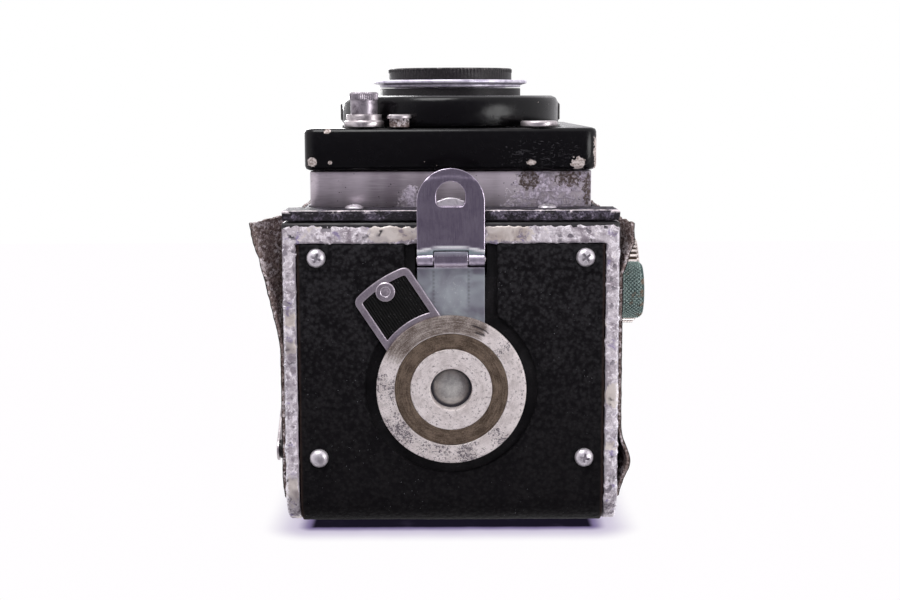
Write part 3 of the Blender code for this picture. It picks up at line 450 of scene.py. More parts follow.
def nickel_plate(name="nickel_plate", pale=(206, 198, 200), deep=(150, 142, 146), metallic=0.9):
    """Worn nickel: pale, finely pitted, dull in patches."""
    f = Finish(name, metallic=metallic)
    grains = f.noise(0.35, 5, 0.7)
    broad = f.noise(2.4, 4, 0.6, 0.5)
    f.base(deep, pale, f.levels(broad, 0.32, 0.58))
    pits = f.levels(grains, 0.36, 0.30)
    f.coat((70, 62, 66), pits)
    f.bump(f.times(pits, -1.0), 0.10)
    f.bump(broad, 0.04)
    return f.done(f.levels(grains, 0.3, 0.7, 0.45, 0.28))


def socket_plate():
    """Pitted pale face of the tripod socket, gone brown at its top and grey at its lower left."""
    f = Finish("socket_plate", metallic=0.45, gloss=0.4)
    streaks = f.swirled()
    grains = f.noise(0.30, 5, 0.75)
    flecks = f.noise(0.75, 6, 0.75)
    broad = f.noise(3.0, 4, 0.6)
    f.base((200, 190, 187), (232, 223, 221), f.levels(f.blend(broad, streaks, 0.4), 0.36, 0.58))
    marks = f.times(f.levels(flecks, 0.45, 0.38), f.levels(f.blend(broad, grains, 0.3), 0.38, 0.50))
    f.coat((104, 94, 96), f.times(marks, 0.9))
    pricks = f.times(f.patches(0.41, 0.36, 0.42, 5, 0.8), f.patches(0.42, 0.54, 3.4, 3))
    f.coat((92, 82, 82), f.times(pricks, 0.85))
    f.coat((150, 138, 132), f.times(f.levels(streaks, 0.60, 0.68), 0.6))
    ragged_flecks = f.times(f.off_centre(flecks), 3.0)
    grey = f.levels(f.plus(f.painted("grey"), ragged_flecks), 0.46, 0.58)
    f.coat((100, 92, 98), f.times(grey, f.levels(grains, 0.36, 0.50)))
    uneven = f.plus(f.off_centre(flecks), f.times(f.off_centre(streaks), 1.6))
    brown = f.levels(f.plus(f.painted("brown"), uneven), 0.25, 0.80)
    worn_and_lit = f.blend(f.blend(streaks, broad, 0.45), grains, 0.35)
    tarnish = f.mix((92, 79, 72), (176, 166, 160), f.levels(worn_and_lit, 0.42, 0.62))
    f.coat(tarnish, brown)
    f.coat((34, 28, 34), f.painted("cut"))
    f.bump(f.calc("SINE", f.times(f.painted("radius"), 14.0)), 0.006)
    f.bump(f.blend(grains, streaks, 0.4), 0.10)
    return f.done(f.blend(0.46, 0.55, f.any([grey, brown])))


def socket_floor():
    """Grey domed bottom of the socket's hole, with painted shade round its foot."""
    f = Finish("socket_floor", metallic=0.15)
    grains = f.noise(0.35, 4, 0.7)
    broad = f.noise(2.4, 3)
    f.base((150, 148, 146), (188, 186, 182), f.levels(f.blend(grains, broad, 0.6), 0.38, 0.6))
    # painted shade in the corner round the dome's foot
    f.coat((40, 38, 46), f.levels(f.painted("radius"), 3.6, 4.4))
    f.coat((30, 26, 26), f.patches(0.70, 0.75, 0.5, 2))
    f.bump(grains, 0.02)
    return f.done(0.5)


def aged_brass():
    """Bare brass of the wear ring, gone brown and finely scratched round the axis."""
    f = Finish("aged_brass", metallic=0.6, gloss=0.3)
    streaks = f.swirled()
    grains = f.noise(0.3, 5, 0.75)
    broad = f.noise(3.0, 3)
    shade = f.blend(f.blend(grains, streaks, 0.5), broad, 0.3)
    f.base((68, 56, 47), (124, 108, 94), f.levels(shade, 0.40, 0.60))
    f.bump(f.blend(grains, streaks, 0.5), 0.08)
    return f.done(0.55)


def latch_steel():
    """Smooth plated latch: dark lavender grey where it mirrors the room, scratched, with painted light: a
    glow on the arm, a reflection band across the tongue's root, a highlight along the root's arch and shade
    along the arm's two lines.
    """
    f = Finish("latch_steel", metallic=1.0)
    scratches = f.noise(0.22, 4, 0.7, stretch=(1.0, 0.08, 1.0))
    broad = f.noise(5.0, 3, 0.6, 0.6)
    specks = f.patches(0.72, 0.76, 0.3, 2)
    arm = f.levels(f.part("Y"), -28.4, -27.6)
    # painted light: a soft glow in the middle of the arm
    from_glow = f.vector("LENGTH", f.vector("SUBTRACT", f.space, (0.5, -22.0, 1.6)))
    worn_and_lit = f.times(f.levels(from_glow, 6.5, 0.0), arm)
    # streaks that are partly scuff marks and partly painted highlights
    scuff_highlights = f.levels(f.noise(0.5, 5, 0.75, 2.0, stretch=(1.0, 0.4, 1.0)), 0.58, 0.68)
    f.base((172, 160, 180), (198, 188, 202), f.levels(f.blend(scratches, broad, 0.5), 0.3, 0.7))
    clouds = f.patches(0.30, 0.70, 4.5, 2, 0.4, 0.8)
    f.coat(f.mix((112, 109, 121), (150, 155, 161), clouds), arm)
    # lay the painted glow, its painted streak highlights and the specks inside it
    f.coat((176, 182, 186), f.times(worn_and_lit, 0.6))
    f.coat((225, 228, 228), f.times(scuff_highlights, f.times(worn_and_lit, 0.6)))
    f.coat((240, 240, 240), f.times(specks, worn_and_lit))
    # painted reflection: a cyan grey band across the tongue's bent root
    f.coat((138, 150, 156), f.painted("root"))
    # painted highlight: a bright line along the arch where the blade bends back
    f.coat((250, 250, 252), f.painted("arch"))
    # painted shade along the arm's two shallow lines
    f.coat((60, 54, 64), f.times(f.painted("line"), 0.5))
    f.bump(scratches, 0.006)
    f.bump(broad, 0.03)
    base = f.levels(f.blend(scratches, broad, 0.4), 0.3, 0.7, 0.17, 0.27)
    base = f.blend(base, 0.34, arm)
    satin = f.any([arm, f.painted("root"), f.painted("arch")])
    return f.done(f.blend(base, 0.5, f.painted("root")), f.blend(1.0, 0.3, satin))


def lever_steel():
    """Pale satin lever frame with painted highlights along its edges."""
    f = Finish("lever_steel", metallic=0.9)
    fine = f.noise(0.3, 4, 0.6)
    broad = f.noise(3.0, 3)
    f.base((160, 149, 160), (192, 182, 191), f.levels(f.blend(fine, broad, 0.5), 0.35, 0.65))
    # painted highlight along every edge
    f.coat((240, 236, 240), f.edges(0.2))
    f.bump(fine, 0.01)
    return f.done(f.levels(fine, 0.3, 0.7, 0.30, 0.45))


def ribbed_black():
    """Black ribbed inlay of the lock lever: painted shade in the valleys, scuff marks and painted highlights
    along the crests.
    """
    f = Finish("ribbed_black", gloss=0.06)
    scuff_highlights = f.patches(0.60, 0.66, 0.32, 5, 0.8)
    area = f.patches(0.48, 0.60, 2.6, 2)
    shown = f.times(area, f.painted("crest"))
    # painted shade: the valleys are darker than the crests
    f.base((5, 5, 6), (19, 18, 18), f.painted("crest"))
    # scuff marks and painted highlights on the crests, in patches
    f.coat((150, 150, 152), f.times(scuff_highlights, shown))
    return f.done(0.5)


def chrome_trim():
    """Polished chrome with a grey film and small dirt marks."""
    f = Finish("chrome_trim", metallic=1.0)
    grime = f.patches(0.58, 0.68, 1.3, 5, 0.7)
    f.base((222, 222, 228), (110, 100, 104), grime)
    f.bump(f.noise(0.4, 4), 0.01)
    return f.done(f.blend(0.10, 0.45, grime))


def verdigris_brass():
    """Knurled brass under green corrosion, with paler crests."""
    f = Finish("verdigris_brass", metallic=0.1, gloss=0.3)
    grains = f.noise(0.35, 5, 0.75)
    broad = f.noise(2.5, 4, 0.6)
    f.base((70, 88, 86), (136, 156, 150), f.levels(f.painted("crest"), 0.2, 0.8))
    f.coat((186, 202, 198), f.times(f.painted("crest"), f.levels(grains, 0.48, 0.58)))
    f.coat((122, 108, 94), f.levels(broad, 0.55, 0.66))
    f.coat((28, 34, 32), f.levels(grains, 0.36, 0.30))
    f.bump(grains, 0.15)
    return f.done(0.8)


def knob_nickel():
    """Ribbed knob: silvery crests, brown grime in the grooves."""
    f = Finish("knob_nickel", metallic=0.75)
    grains = f.noise(0.4, 5, 0.7)
    crest = f.plus(f.painted("crest"), f.times(f.off_centre(grains), 0.6))
    f.base((84, 68, 58), (206, 196, 192), f.levels(crest, 0.35, 0.65))
    f.bump(grains, 0.06)
    return f.done(f.levels(crest, 0.3, 0.7, 0.7, 0.35))


def glass_coated():
    """Coated lens glass over a dark barrel, with a faint violet bloom and dust."""
    f = Finish("lens_glass", gloss=0.8)
    tilt = f.add("ShaderNodeLayerWeight")
    tilt.inputs["Blend"].default_value = 0.35
    f.base((16, 14, 26), (70, 52, 110), tilt.outputs["Facing"])
    f.coat((120, 120, 120), f.patches(0.70, 0.78, 0.7, 3))
    f.shader.inputs["Coat Weight"].default_value = 1.0
    f.shader.inputs["Coat Tint"].default_value = linear(190, 180, 255)
    return f.done(0.06)


def clear_glass():
    f = Finish("clear_glass", gloss=0.6)
    f.shader.inputs["Transmission Weight"].default_value = 0.95
    haze = f.noise(2.0, 4)
    f.colour = linear(235, 238, 240)
    return f.done(f.levels(haze, 0.4, 0.7, 0.03, 0.12))


def ground_glass():
    """Ground screen: pale, hazy, with a fine grain."""
    f = Finish("ground_glass", gloss=0.5)
    haze = f.noise(6.0, 3)
    grain = f.noise(0.15, 2)
    f.base((150, 156, 158), (196, 202, 204), f.levels(haze, 0.3, 0.7))
    f.bump(grain, 0.02)
    return f.done(f.levels(grain, 0.3, 0.7, 0.35, 0.55))


def mirror_glass():
    """Front-silvered mirror with a little tarnish at its edges."""
    f = Finish("mirror_glass", metallic=1.0)
    tarnish = f.patches(0.60, 0.78, 7.0, 5, 0.65)
    f.base((228, 230, 232), (120, 110, 100), tarnish)
    return f.done(f.blend(0.03, 0.3, tarnish))


def spool_enamel():
    """Semi-gloss black spool with rubbed rims."""
    f = Finish("spool_enamel", metallic=0.1, gloss=0.4)
    worn_and_lit = f.times(f.edges(0.3), f.patches(0.5, 0.62, 1.5, 4))
    f.base((20, 20, 21), (150, 145, 140), worn_and_lit)
    f.bump(f.noise(0.8, 3), 0.03)
    return f.done(f.levels(f.noise(1.2, 4), 0.3, 0.7, 0.28, 0.42))


LEATHER = leatherette()
PEELED = peeled_leather()
CORRODED = corroded_alloy()
STAINED = stained_plate()
ALLOY = cast_alloy()
SKIRT = skirt_alloy()
ENAMEL = black_enamel()
BLACKENED = blackened_metal()
RECESS = recess_black()
NICKEL = nickel_plate()
SCREW = nickel_plate("screw_nickel", (214, 208, 214), (160, 154, 160), 0.7)
DULL = nickel_plate("dull_nickel", (160, 152, 160), (88, 80, 88), 0.7)
SOCKET = socket_plate()
FLOOR = socket_floor()
BRASS = aged_brass()
LATCH = latch_steel()
LEVER = lever_steel()
RIBBED = ribbed_black()
CHROME = chrome_trim()
BAYONET = nickel_plate("bayonet_plate", (222, 216, 230), (180, 172, 192), 0.35)
KNUCKLE = nickel_plate("knuckle_plate", (200, 190, 206), (160, 150, 168))
VERDIGRIS = verdigris_brass()
KNOB = knob_nickel()
GLASS = glass_coated()
CLEAR = clear_glass()
GROUND = ground_glass()
MIRROR = mirror_glass()
SPOOL = spool_enamel()


# ---------------------------------------------------------------- mesh tools

SHARP_ANGLE = 35


def to_object(name, bm, materials):
    """A mesh object at the frame's origin, smooth apart from its sharp edges."""
    bmesh.ops.recalc_face_normals(bm, faces=bm.faces)
    mesh = bpy.data.meshes.new(name)
    bm.to_mesh(mesh)
    bm.free()
    mesh.shade_smooth()
    mesh.set_sharp_from_angle(angle=math.radians(SHARP_ANGLE))
    for material in materials:
        mesh.materials.append(material)
    item = bpy.data.objects.new(name, mesh)
    bpy.context.scene.collection.objects.link(item)
    return item


def paint(item, name, rule):
    """Store rule(x, y, z) at each vertex, for the materials to read."""
    layer = item.data.attributes.new(name, "FLOAT", "POINT")
    for vertex, value in zip(item.data.vertices, layer.data):
        value.value = rule(*((vertex.co - AXIS) / MM))


def dress(item, body, slot, *replaced):
    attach(item, body)
    if replaced:
        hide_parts(*replaced)


def arc(centre, radius, start, end, steps):
    """Points along a circle, angles in degrees, both ends included."""
    points = []
    for step in range(steps + 1):
        angle = math.radians(start + (end - start) * step / steps)
        points.append((centre[0] + radius * math.cos(angle), centre[1] + radius * math.sin(angle)))
    return points


def circle(centre, radius, steps=48):
    return arc(centre, radius, 0, 360, steps)[:-1]


def walk(outline, spacing):
    """A closed outline cut into steps of about one spacing."""
    samples = []
    for index, start in enumerate(outline):
        first, last = Vector(start), Vector(outline[(index + 1) % len(outline)])
        steps = max(1, round((last - first).length / spacing))
        samples += [first.lerp(last, step / steps) for step in range(steps)]
    return samples


def ragged(outline, amount, size, seed=0.0, spacing=0.4):
    """An outline whose points wander sideways by up to about amount."""
    samples = walk(outline, spacing)
    moved = []
    for index, point in enumerate(samples):
        along = (samples[(index + 1) % len(samples)] - samples[index - 1]).normalized()
        shift = amount * rough(point.x, point.y, seed, size)
        moved.append(point + Vector((-along.y, along.x)) * shift)
    return moved


def inward_order(samples, outer):
    """Put the inside on the left: outer loops turn one way, holes the other."""
    area = sum(a.x * b.y - b.x * a.y for a, b in zip(samples, samples[1:] + samples[:1]))
    return samples if (area > 0) == outer else samples[::-1]


def encloses(loop, point):
    """Whether a closed loop goes round a point."""
    crossings = 0
    for first, last in zip(loop, loop[1:] + loop[:1]):
        if (first.y > point.y) != (last.y > point.y):
            share = (point.y - first.y) / (last.y - first.y)
            crossings += first.x + share * (last.x - first.x) > point.x
    return crossings % 2 == 1


def in_hole(loops, point):
    for centre, reach, loop in loops:
        if (point - centre).length < reach and encloses(loop, point):
            return True
    return False


def flat_mesh(outline, holes, spacing, rim):
    """Triangles that fill an outline around its holes, with rows of points along each edge."""
    points, edges, inner = [], [], []
    for number, loop in enumerate([outline, *holes]):
        samples = inward_order(walk(loop, spacing), number == 0)
        count = len(samples)
        first = len(points)
        for index, point in enumerate(samples):
            along = (samples[(index + 1) % count] - samples[index - 1]).normalized()
            inner += [(point + Vector((-along.y, along.x)) * offset, offset * 0.8) for offset in rim]
        points += samples
        edges += [(first + index, first + (index + 1) % count) for index in range(count)]
    border = kdtree.KDTree(len(points))
    for index, point in enumerate(points):
        border.insert((*point, 0), index)
    border.balance()
    keep_off = 0.6 * spacing + (rim[-1] if rim else 0)
    row_height = spacing * math.sqrt(3) / 2
    low_u, high_u = min(p.x for p in points), max(p.x for p in points)
    low_v, high_v = min(p.y for p in points), max(p.y for p in points)
    for row in range(int((high_v - low_v) / row_height) + 1):
        for column in range(int((high_u - low_u) / spacing) + 1):
            u = low_u + (column + 0.5 * (row % 2)) * spacing
            inner.append((Vector((u, low_v + row * row_height)), keep_off))
    points += [point for point, clear in inner if border.find((*point, 0))[2] >= clear]
    places, _, triangles, *_ = geometry.delaunay_2d_cdt(points, edges, [], 1, 1e-5)
    loops = []
    for hole in holes:
        corners = [Vector(corner) for corner in hole]
        centre = sum(corners, Vector((0, 0))) / len(corners)
        loops.append((centre, max((corner - centre).length for corner in corners), corners))
    triangles = [t for t in triangles if not in_hole(loops, (places[t[0]] + places[t[1]] + places[t[2]]) / 3)]
    reach = {index: border.find((*places[index], 0))[2] for index in {i for t in triangles for i in t}}
    return places, triangles, reach


def sheet(name, outline, place, thickness, materials, holes=(), spacing=0.6, edge=0.2, relief=None):
    """A closed sheet with rounded upper edges.

    place(u, v) gives the upper face's point and normal, relief(u, v, reach) how far
    it stands out there, with reach the distance to the nearest edge. A second
    material goes on the walls and the under side.
    """
    rim = [edge * share for share in (0.15, 0.5, 1.0)] if edge else []
    places, triangles, reach = flat_mesh(outline, list(holes), spacing, rim)
    bm = bmesh.new()
    uppers, lowers = {}, {}
    for index, distance in reach.items():
        u, v = places[index]
        point, normal = place(u, v)
        height = relief(u, v, distance) if relief else 0.0
        if distance < edge:
            height -= edge - math.sqrt(edge ** 2 - (edge - distance) ** 2)
        uppers[index] = bm.verts.new(at(*(point + normal * height)))
        lowers[index] = bm.verts.new(at(*(point - normal * thickness)))
    used = {}
    for triangle in triangles:
        bm.faces.new([uppers[i] for i in triangle])
        bm.faces.new([lowers[i] for i in reversed(triangle)]).material_index = len(materials) - 1
        for first, second in zip(triangle, triangle[1:] + triangle[:1]):
            used[frozenset((first, second))] = None if frozenset((first, second)) in used else (first, second)
    for pair in used.values():
        if pair:
            first, second = pair
            wall = bm.faces.new((uppers[second], uppers[first], lowers[first], lowers[second]))
            wall.material_index = len(materials) - 1
    return to_object(name, bm, materials)


def turned(name, profile, axis, centre, materials, segments=96, ripple=None, bored=False):
    """Revolve (radius, height) points about an axis.

    ripple(angle, radius, height) moves a point by (radius, height). A solid profile
    starts and ends on the axis; a bored one is a closed loop.
    """
    bm = bmesh.new()
    rings = []
    for radius, height in profile:
        count = segments if radius else 1
        ring = []
        for step in range(count):
            angle = 2 * math.pi * step / segments
            out, along = ripple(angle, radius, height) if ripple and radius else (0.0, 0.0)
            across = centre[0] + (radius + out) * math.cos(angle)
            up = centre[1] + (radius + out) * math.sin(angle)
            spot = {"X": (height + along, across, up), "Y": (across, height + along, up),
                    "Z": (across, up, height + along)}[axis]
            ring.append(bm.verts.new(at(*spot)))
        rings.append(ring)
    pairs = list(zip(rings, rings[1:]))
    if bored:
        pairs.append((rings[-1], rings[0]))
    for first, second in pairs:
        for step in range(segments):
            after = (step + 1) % segments
            corners = [first[step % len(first)], first[after % len(first)],
                       second[after % len(second)], second[step % len(second)]]
            bm.faces.new(list(dict.fromkeys(corners)))
    return to_object(name, bm, materials)


def refined(profile, step):
    """Profile points with long runs cut into steps."""
    points = [profile[0]]
    for first, last in zip(profile, profile[1:]):
        first, last = Vector(first), Vector(last)
        count = max(1, round((last - first).length / step))
        points += [tuple(first.lerp(last, share / count)) for share in range(1, count + 1)]
    return points


def bake(item):
    """Give an item the mesh that its modifiers make."""
    graph = bpy.context.evaluated_depsgraph_get()
    mesh = bpy.data.meshes.new_from_object(item.evaluated_get(graph))
    item.modifiers.clear()
    item.data = mesh


def carve(item, *tools):
    """Cut tools out of an item and remove them."""
    for tool in tools:
        modifier = item.modifiers.new("cut", "BOOLEAN")
        modifier.operation = "DIFFERENCE"
        modifier.object = tool
    bake(item)
    for tool in tools:
        bpy.data.objects.remove(tool)


def block(name, centre, size, turn=0.0, axis="Z"):
    """A plain box for carving, turned in degrees about an axis."""
    bm = bmesh.new()
    bmesh.ops.create_cube(bm, size=1.0)
    bmesh.ops.scale(bm, vec=Vector(size) * MM, verts=bm.verts)
    bmesh.ops.rotate(bm, matrix=Matrix.Rotation(math.radians(turn), 3, axis), verts=bm.verts)
    bmesh.ops.translate(bm, vec=at(*centre), verts=bm.verts)
    return to_object(name, bm, [])


class Wrap:
    """A sheet's path: along the base from start_y, round a corner, then up at end_y."""

    def __init__(self, start_y, end_y, base_z, radius):
        self.start_y, self.end_y, self.base_z, self.radius = start_y, end_y, base_z, radius
        self.sign = math.copysign(1.0, end_y - start_y)
        self.flat = abs(end_y - start_y) - radius
        self.corner = radius * math.pi / 2

    def __call__(self, u, v):
        if v <= self.flat:
            return Vector((u, self.start_y + self.sign * v, self.base_z)), Vector((0, 0, -1))
        if v >= self.flat + self.corner:
            up = self.base_z + self.radius + v - self.flat - self.corner
            return Vector((u, self.end_y, up)), Vector((0, self.sign, 0))
        angle = (v - self.flat) / self.radius
        normal = Vector((0, self.sign * math.sin(angle), -math.cos(angle)))
        centre = Vector((u, self.start_y + self.sign * self.flat, self.base_z + self.radius))
        return centre + normal * self.radius, normal


# ---------------------------------------------------------------- base and back

HEEL_RADIUS = 8.5
LEATHER_THICKNESS = 0.55
SCREW_CLEARANCE = 1.5
CRUST_HEIGHT = 92.0


def leather_grain(x, y, z):
    """Pebbled relief of the covering, with slow swells."""
    distances, _ = noise.voronoi(Vector((x, y, z)) / 1.3)
    return 0.10 * (0.5 - distances[0]) + 0.05 * rough(x, y, z, 9.0, 2)


def door_leather():
    """Covering of base and back in one sheet, cut out for the lever and the screws."""
    low, high = box_mm("door_leather")
    wrap = Wrap(low.y, high.y, low.z, HEEL_RADIUS)
    length = wrap.flat + wrap.corner + high.z - low.z - HEEL_RADIUS
    slot_half = 10.6
    keyhole = 19.8
    turn = math.degrees(math.asin(slot_half / keyhole))
    outline = [(-slot_half, 0.0), (low.x, 0.0), (low.x, length),
               (high.x, length), (high.x, 0.0), (slot_half, 0.0)]
    outline += [(u, v - low.y) for u, v in arc((0, 0), keyhole, -90 + turn, 270 - turn, 72)]
    feet = [round_node(f"foot_screw_{row}_{side}", "Z")[0]
            for row in ("front", "rear") for side in ("left", "right")]
    holes = [circle((x, y - low.y), SCREW_CLEARANCE, 20) for x, y in feet]
    item = sheet("door_covering", ragged(outline, 0.12, 3.0, 4.0), wrap, LEATHER_THICKNESS, [LEATHER],
                 holes, 0.6, 0.25,
                 lambda u, v, reach: leather_grain(u, v, 0.0) * smooth(reach, 0.0, 0.8))
    dress(item, "back_door", "leatherette", "door_leather")


def crust_height(x, y, z, calm):
    """Corrosion crust: lumps and grains, sunk at pits, nearly level where calm."""
    lumps = rough(x, y, z, 2.4)
    grains = rough(x, y, z + 40.0, 0.75, 2)
    return 0.22 + (0.16 * lumps + 0.15 * grains) * (1 - 0.85 * calm) - 0.55 * crust_pit(x, y, z) * (1 - calm)


def crust_pit(x, y, z):
    """1 in the crust's pits."""
    return smooth(rough(x, y, z + 90.0, 1.7, 2), 0.42, 0.62)


def crust_calm(x, y, z):
    """1 on stretches that kept their smooth surface: beside the latch and low on the walls."""
    beam = smooth(abs(abs(x) - 13.0), 7.0, 3.0) * smooth(y, -33.0, -34.5)
    wall = smooth(rough(0.0, y + 11.0 * math.copysign(1, x), z, 9.0, 2), 0.05, 0.4) * smooth(y, -24.0, -16.0)
    return min(1.0, beam + 0.9 * wall)


def casting_crust():
    """Corroded heel and side edges of the casting, open in the middle where the door sits."""
    low, high = box_mm("body_casting")
    half, inner = 38.4, 35.45
    front_y, beam_y = low.y + 0.8, -33.5
    wrap = Wrap(front_y, high.y, low.z + 0.1, HEEL_RADIUS)
    end = wrap.flat + wrap.corner + CRUST_HEIGHT
    beam = beam_y - front_y
    outline = [(-half, 0.0), (half, 0.0), (half, end), (inner, end),
               (inner, beam), (-inner, beam), (-inner, end), (-half, end)]

    def relief(u, v, reach):
        point, _ = wrap(u, v)
        fade = 1 - smooth(point.z, 30.0, 70.0)
        latch = 1 - 0.6 * smooth(abs(u), 10.0, 8.5)
        return crust_height(*point, crust_calm(*point)) * latch * (0.35 + 0.65 * fade) + 0.05

    item = sheet("casting_crust", ragged(outline, 0.4, 1.5, 7.0, 0.35), wrap, 2.4, [CORRODED], (),
                 0.42, 0.6, relief)
    paint(item, "calm", crust_calm)
    paint(item, "pit", crust_pit)
    paint(item, "rim", lambda x, y, z: smooth(abs(x), 37.7, 38.2))
    dress(item, "camera_body", "corroded_alloy")


def plate_crust():
    """Mottled salts over the base and the lower front of the lens-side plate."""
    low, high = box_mm("front_plate")
    wrap = Wrap(high.y - 0.1, low.y, low.z + 0.1, 0.5)
    climb = 12.2
    end = wrap.flat + wrap.corner + climb
    outline = ragged([(low.x, 0.0), (high.x, 0.0), (high.x, end), (low.x, end)], 0.25, 1.8, 3.0)

    def relief(u, v, reach):
        point, _ = wrap(u, v)
        up = smooth(point.z, 4.0, 8.0)
        return (0.10 + 0.10 * rough(*point, 2.2) + 0.10 * rough(*point, 0.8, 2)) * (1 - 0.7 * up)

    item = sheet("plate_crust", outline, wrap, 1.2, [STAINED], (), 0.5, 0.3, relief)
    paint(item, "rim", lambda x, y, z: smooth(y, low.y + 0.45, low.y + 0.2) * smooth(z, 3.2, 2.4))
    dress(item, "camera_body", "corroded_alloy")


def cross_screw(name, centre, radius, base, tip, axis, turn, body, node):
    """Domed screw head facing down an axis; its cross recess is filled up where turn is None."""
    height = abs(tip - base)
    dome_height = height * 0.75 * 1.15
    dome = [(radius * math.sin(a), tip + dome_height * (1 - math.cos(a)))
            for a in [math.pi / 2 * step / 10 for step in range(10)]]
    profile = refined([(0, tip)] + dome[1:] + [(radius, base), (0, base)], 0.4)
    item = turned(name, profile, axis, centre, [SCREW], 48)
    if turn is not None:
        arm, width, depth = radius, radius * 0.26, height * 1.1
        spot = {"Z": (centre[0], centre[1], tip), "Y": (centre[0], tip, centre[1])}[axis]
        size = {"Z": (arm, width, depth), "Y": (arm, depth, width)}[axis]
        carve(item, *[block(f"{name}_slot_{step}", spot, size, turn + 90 * step, axis) for step in (0, 1)])
    dress(item, body, "nickel_plate", node)


def screws():
    """Four screws in the base, one with its recess filled up, and two in the lens-side plate."""
    turns = {"front_left": 20, "front_right": 52, "rear_left": None, "rear_right": 10}
    for place, turn in turns.items():
        node = f"foot_screw_{place}"
        centre, radius, low, _ = round_node(node, "Z")
        cross_screw(f"base_{node}", centre, radius, 1.6, low.z, "Z", turn, "back_door", node)
    for side, turn in (("left", 30), ("right", 75)):
        node = f"front_plate_screw_{side}"
        centre, radius, low, high = round_node(node, "Y")
        cross_screw(f"slotted_{node}", centre, radius, high.y + 0.3, low.y, "Y", turn, "camera_body", node)


# ---------------------------------------------------------------- tripod socket

def socket_angle(x, y):
    """Degrees round the socket from the lens side, positive towards +X."""
    return math.degrees(math.atan2(x, -y))


def paint_polar(item):
    """Store each vertex's radius and angle round the socket."""
    paint(item, "radius", lambda x, y, z: math.hypot(x, y))
    paint(item, "angle", lambda x, y, z: socket_angle(x, y))


def socket_grey(x, y, z):
    """Grey stains on the socket's outer ring, by sectors."""
    radius = math.hypot(x, y)
    angle = socket_angle(x, y)
    sector = max(math.exp(-((angle - centre) / width) ** 2) for centre, width in
                 ((-88, 22), (-128, 26), (-168, 24), (168, 20), (52, 9), (135, 12)))
    return smooth(radius, 12.6, 13.4) * (0.62 * sector - 0.12 + 0.20 * rough(x, y, 5.0, 3.0))


def socket_brown(x, y, z):
    """Brown tarnish on the socket's outer ring, towards the lens side."""
    angle = socket_angle(x, y)
    sector = smooth(angle, -72, -52) * (1 - smooth(angle, 22, 40))
    outer = smooth(math.hypot(x, y), 12.9, 13.3)
    return outer * (sector * 0.95 + 0.15 * rough(x, y, 1.0, 2.5))


def socket_cut(x, y, z):
    """Two short dark cuts near the rim."""
    worst = 0.0
    for first, last in (((5.0, -14.9), (8.2, -13.3)), ((5.8, -13.2), (7.6, -12.5))):
        first, last = Vector(first), Vector(last)
        nearest, share = geometry.intersect_point_line(Vector((x, y)), first, last)
        nearest = first.lerp(last, min(max(share, 0), 1))
        worst = max(worst, 1 - smooth((Vector((x, y)) - nearest).length, 0.10, 0.30))
    return worst


def tripod_socket():
    """Socket plate with its groove, the domed floor of the hole, and the brass ring in the groove."""
    bore, groove_in, groove_out, rim = 4.8, 9.3, 13.1, box_mm("tripod_socket")[1].x
    face = [(rim - 0.2, 0.75), (rim, 0.55), (rim, 0.2), (rim - 0.08, 0.07), (rim - 0.3, 0.0),
            (groove_out, 0.0), (groove_out - 0.05, 0.05), (groove_out - 0.1, 0.55),
            (groove_in + 0.1, 0.55), (groove_in + 0.05, 0.05), (groove_in, 0.0),
            (bore + 0.35, 0.0), (bore + 0.12, 0.06), (bore, 0.25)]
    wall = [(bore, 3.6), (bore + 2.5, 3.6), (bore + 2.5, 0.78)]

    def ripple(angle, radius, height):
        x, y = radius * math.cos(angle), radius * math.sin(angle)
        if height > 0.1:
            return 0.0, 0.0
        dents = 0.02 * rough(x, y, 0.0, 1.1) + 0.18 * socket_cut(x, y, 0)
        return 0.03 * rough(x, y, 9.0, 1.0) * smooth(radius, rim - 0.6, rim), dents

    disc = turned("socket_face", refined(face + wall, 0.32), "Z", (0, 0), [SOCKET], 200, ripple, bored=True)
    for name, rule in (("grey", socket_grey), ("brown", socket_brown), ("cut", socket_cut)):
        paint(disc, name, rule)
    paint_polar(disc)
    dress(disc, "back_door", "nickel_plate", "tripod_socket")

    dome = [(0, 2.3), (1.2, 2.35), (2.4, 2.55), (3.3, 2.9), (3.9, 3.4),
            (4.1, 3.58), (4.9, 3.6), (4.9, 4.0), (0, 4.0)]
    floor = turned("socket_floor", refined(dome, 0.3), "Z", (0, 0), [FLOOR], 96)
    paint_polar(floor)
    dress(floor, "back_door", "nickel_plate", "tripod_socket")

    section = [(9.45, 0.5), (9.45, 0.13), (9.55, 0.08), (12.85, 0.08), (12.95, 0.13), (12.95, 0.5)]

    def worn_and_lit(angle, radius, height):
        dent = 0.02 * noise.noise(Vector((angle * 40, radius * 0.5, 0)))
        return 0.0, dent if height < 0.2 else 0.0

    ring = turned("wear_ring", refined(section, 0.3), "Z", (0, 0), [BRASS], 160, worn_and_lit, bored=True)
    paint_polar(ring)
    dress(ring, "back_door", "aged_brass", "tripod_ring")


# ---------------------------------------------------------------- lever and latch

LEVER_ANGLE = 236.5


def lever_point(along, across):
    """A place on the lever, from its distances along and across its finger."""
    angle = math.radians(LEVER_ANGLE)
    return (along * math.cos(angle) - across * math.sin(angle),
            along * math.sin(angle) + across * math.cos(angle))


def finger(half, radius, corner, start_radius):
    """Parallel-sided finger of the lever, its two ends arcs about the socket's axis."""
    side = half - corner
    along = math.sqrt((radius - corner) ** 2 - side ** 2)
    turn = math.degrees(math.atan2(side, along))
    points = arc((along, -side), corner, -90, -turn, 8)
    points += arc((0, 0), radius, -turn, turn, 24)[1:-1]
    points += arc((along, side), corner, turn, 90, 8)
    spread = math.degrees(math.asin(half / start_radius))
    points += arc((0, 0), start_radius, spread, -spread, 24)
    return [lever_point(*point) for point in points]


def facing_down(z):
    """A sheet's place on a level plane, seen from below."""
    return lambda u, v: (Vector((u, v, z)), Vector((0, 0, -1)))


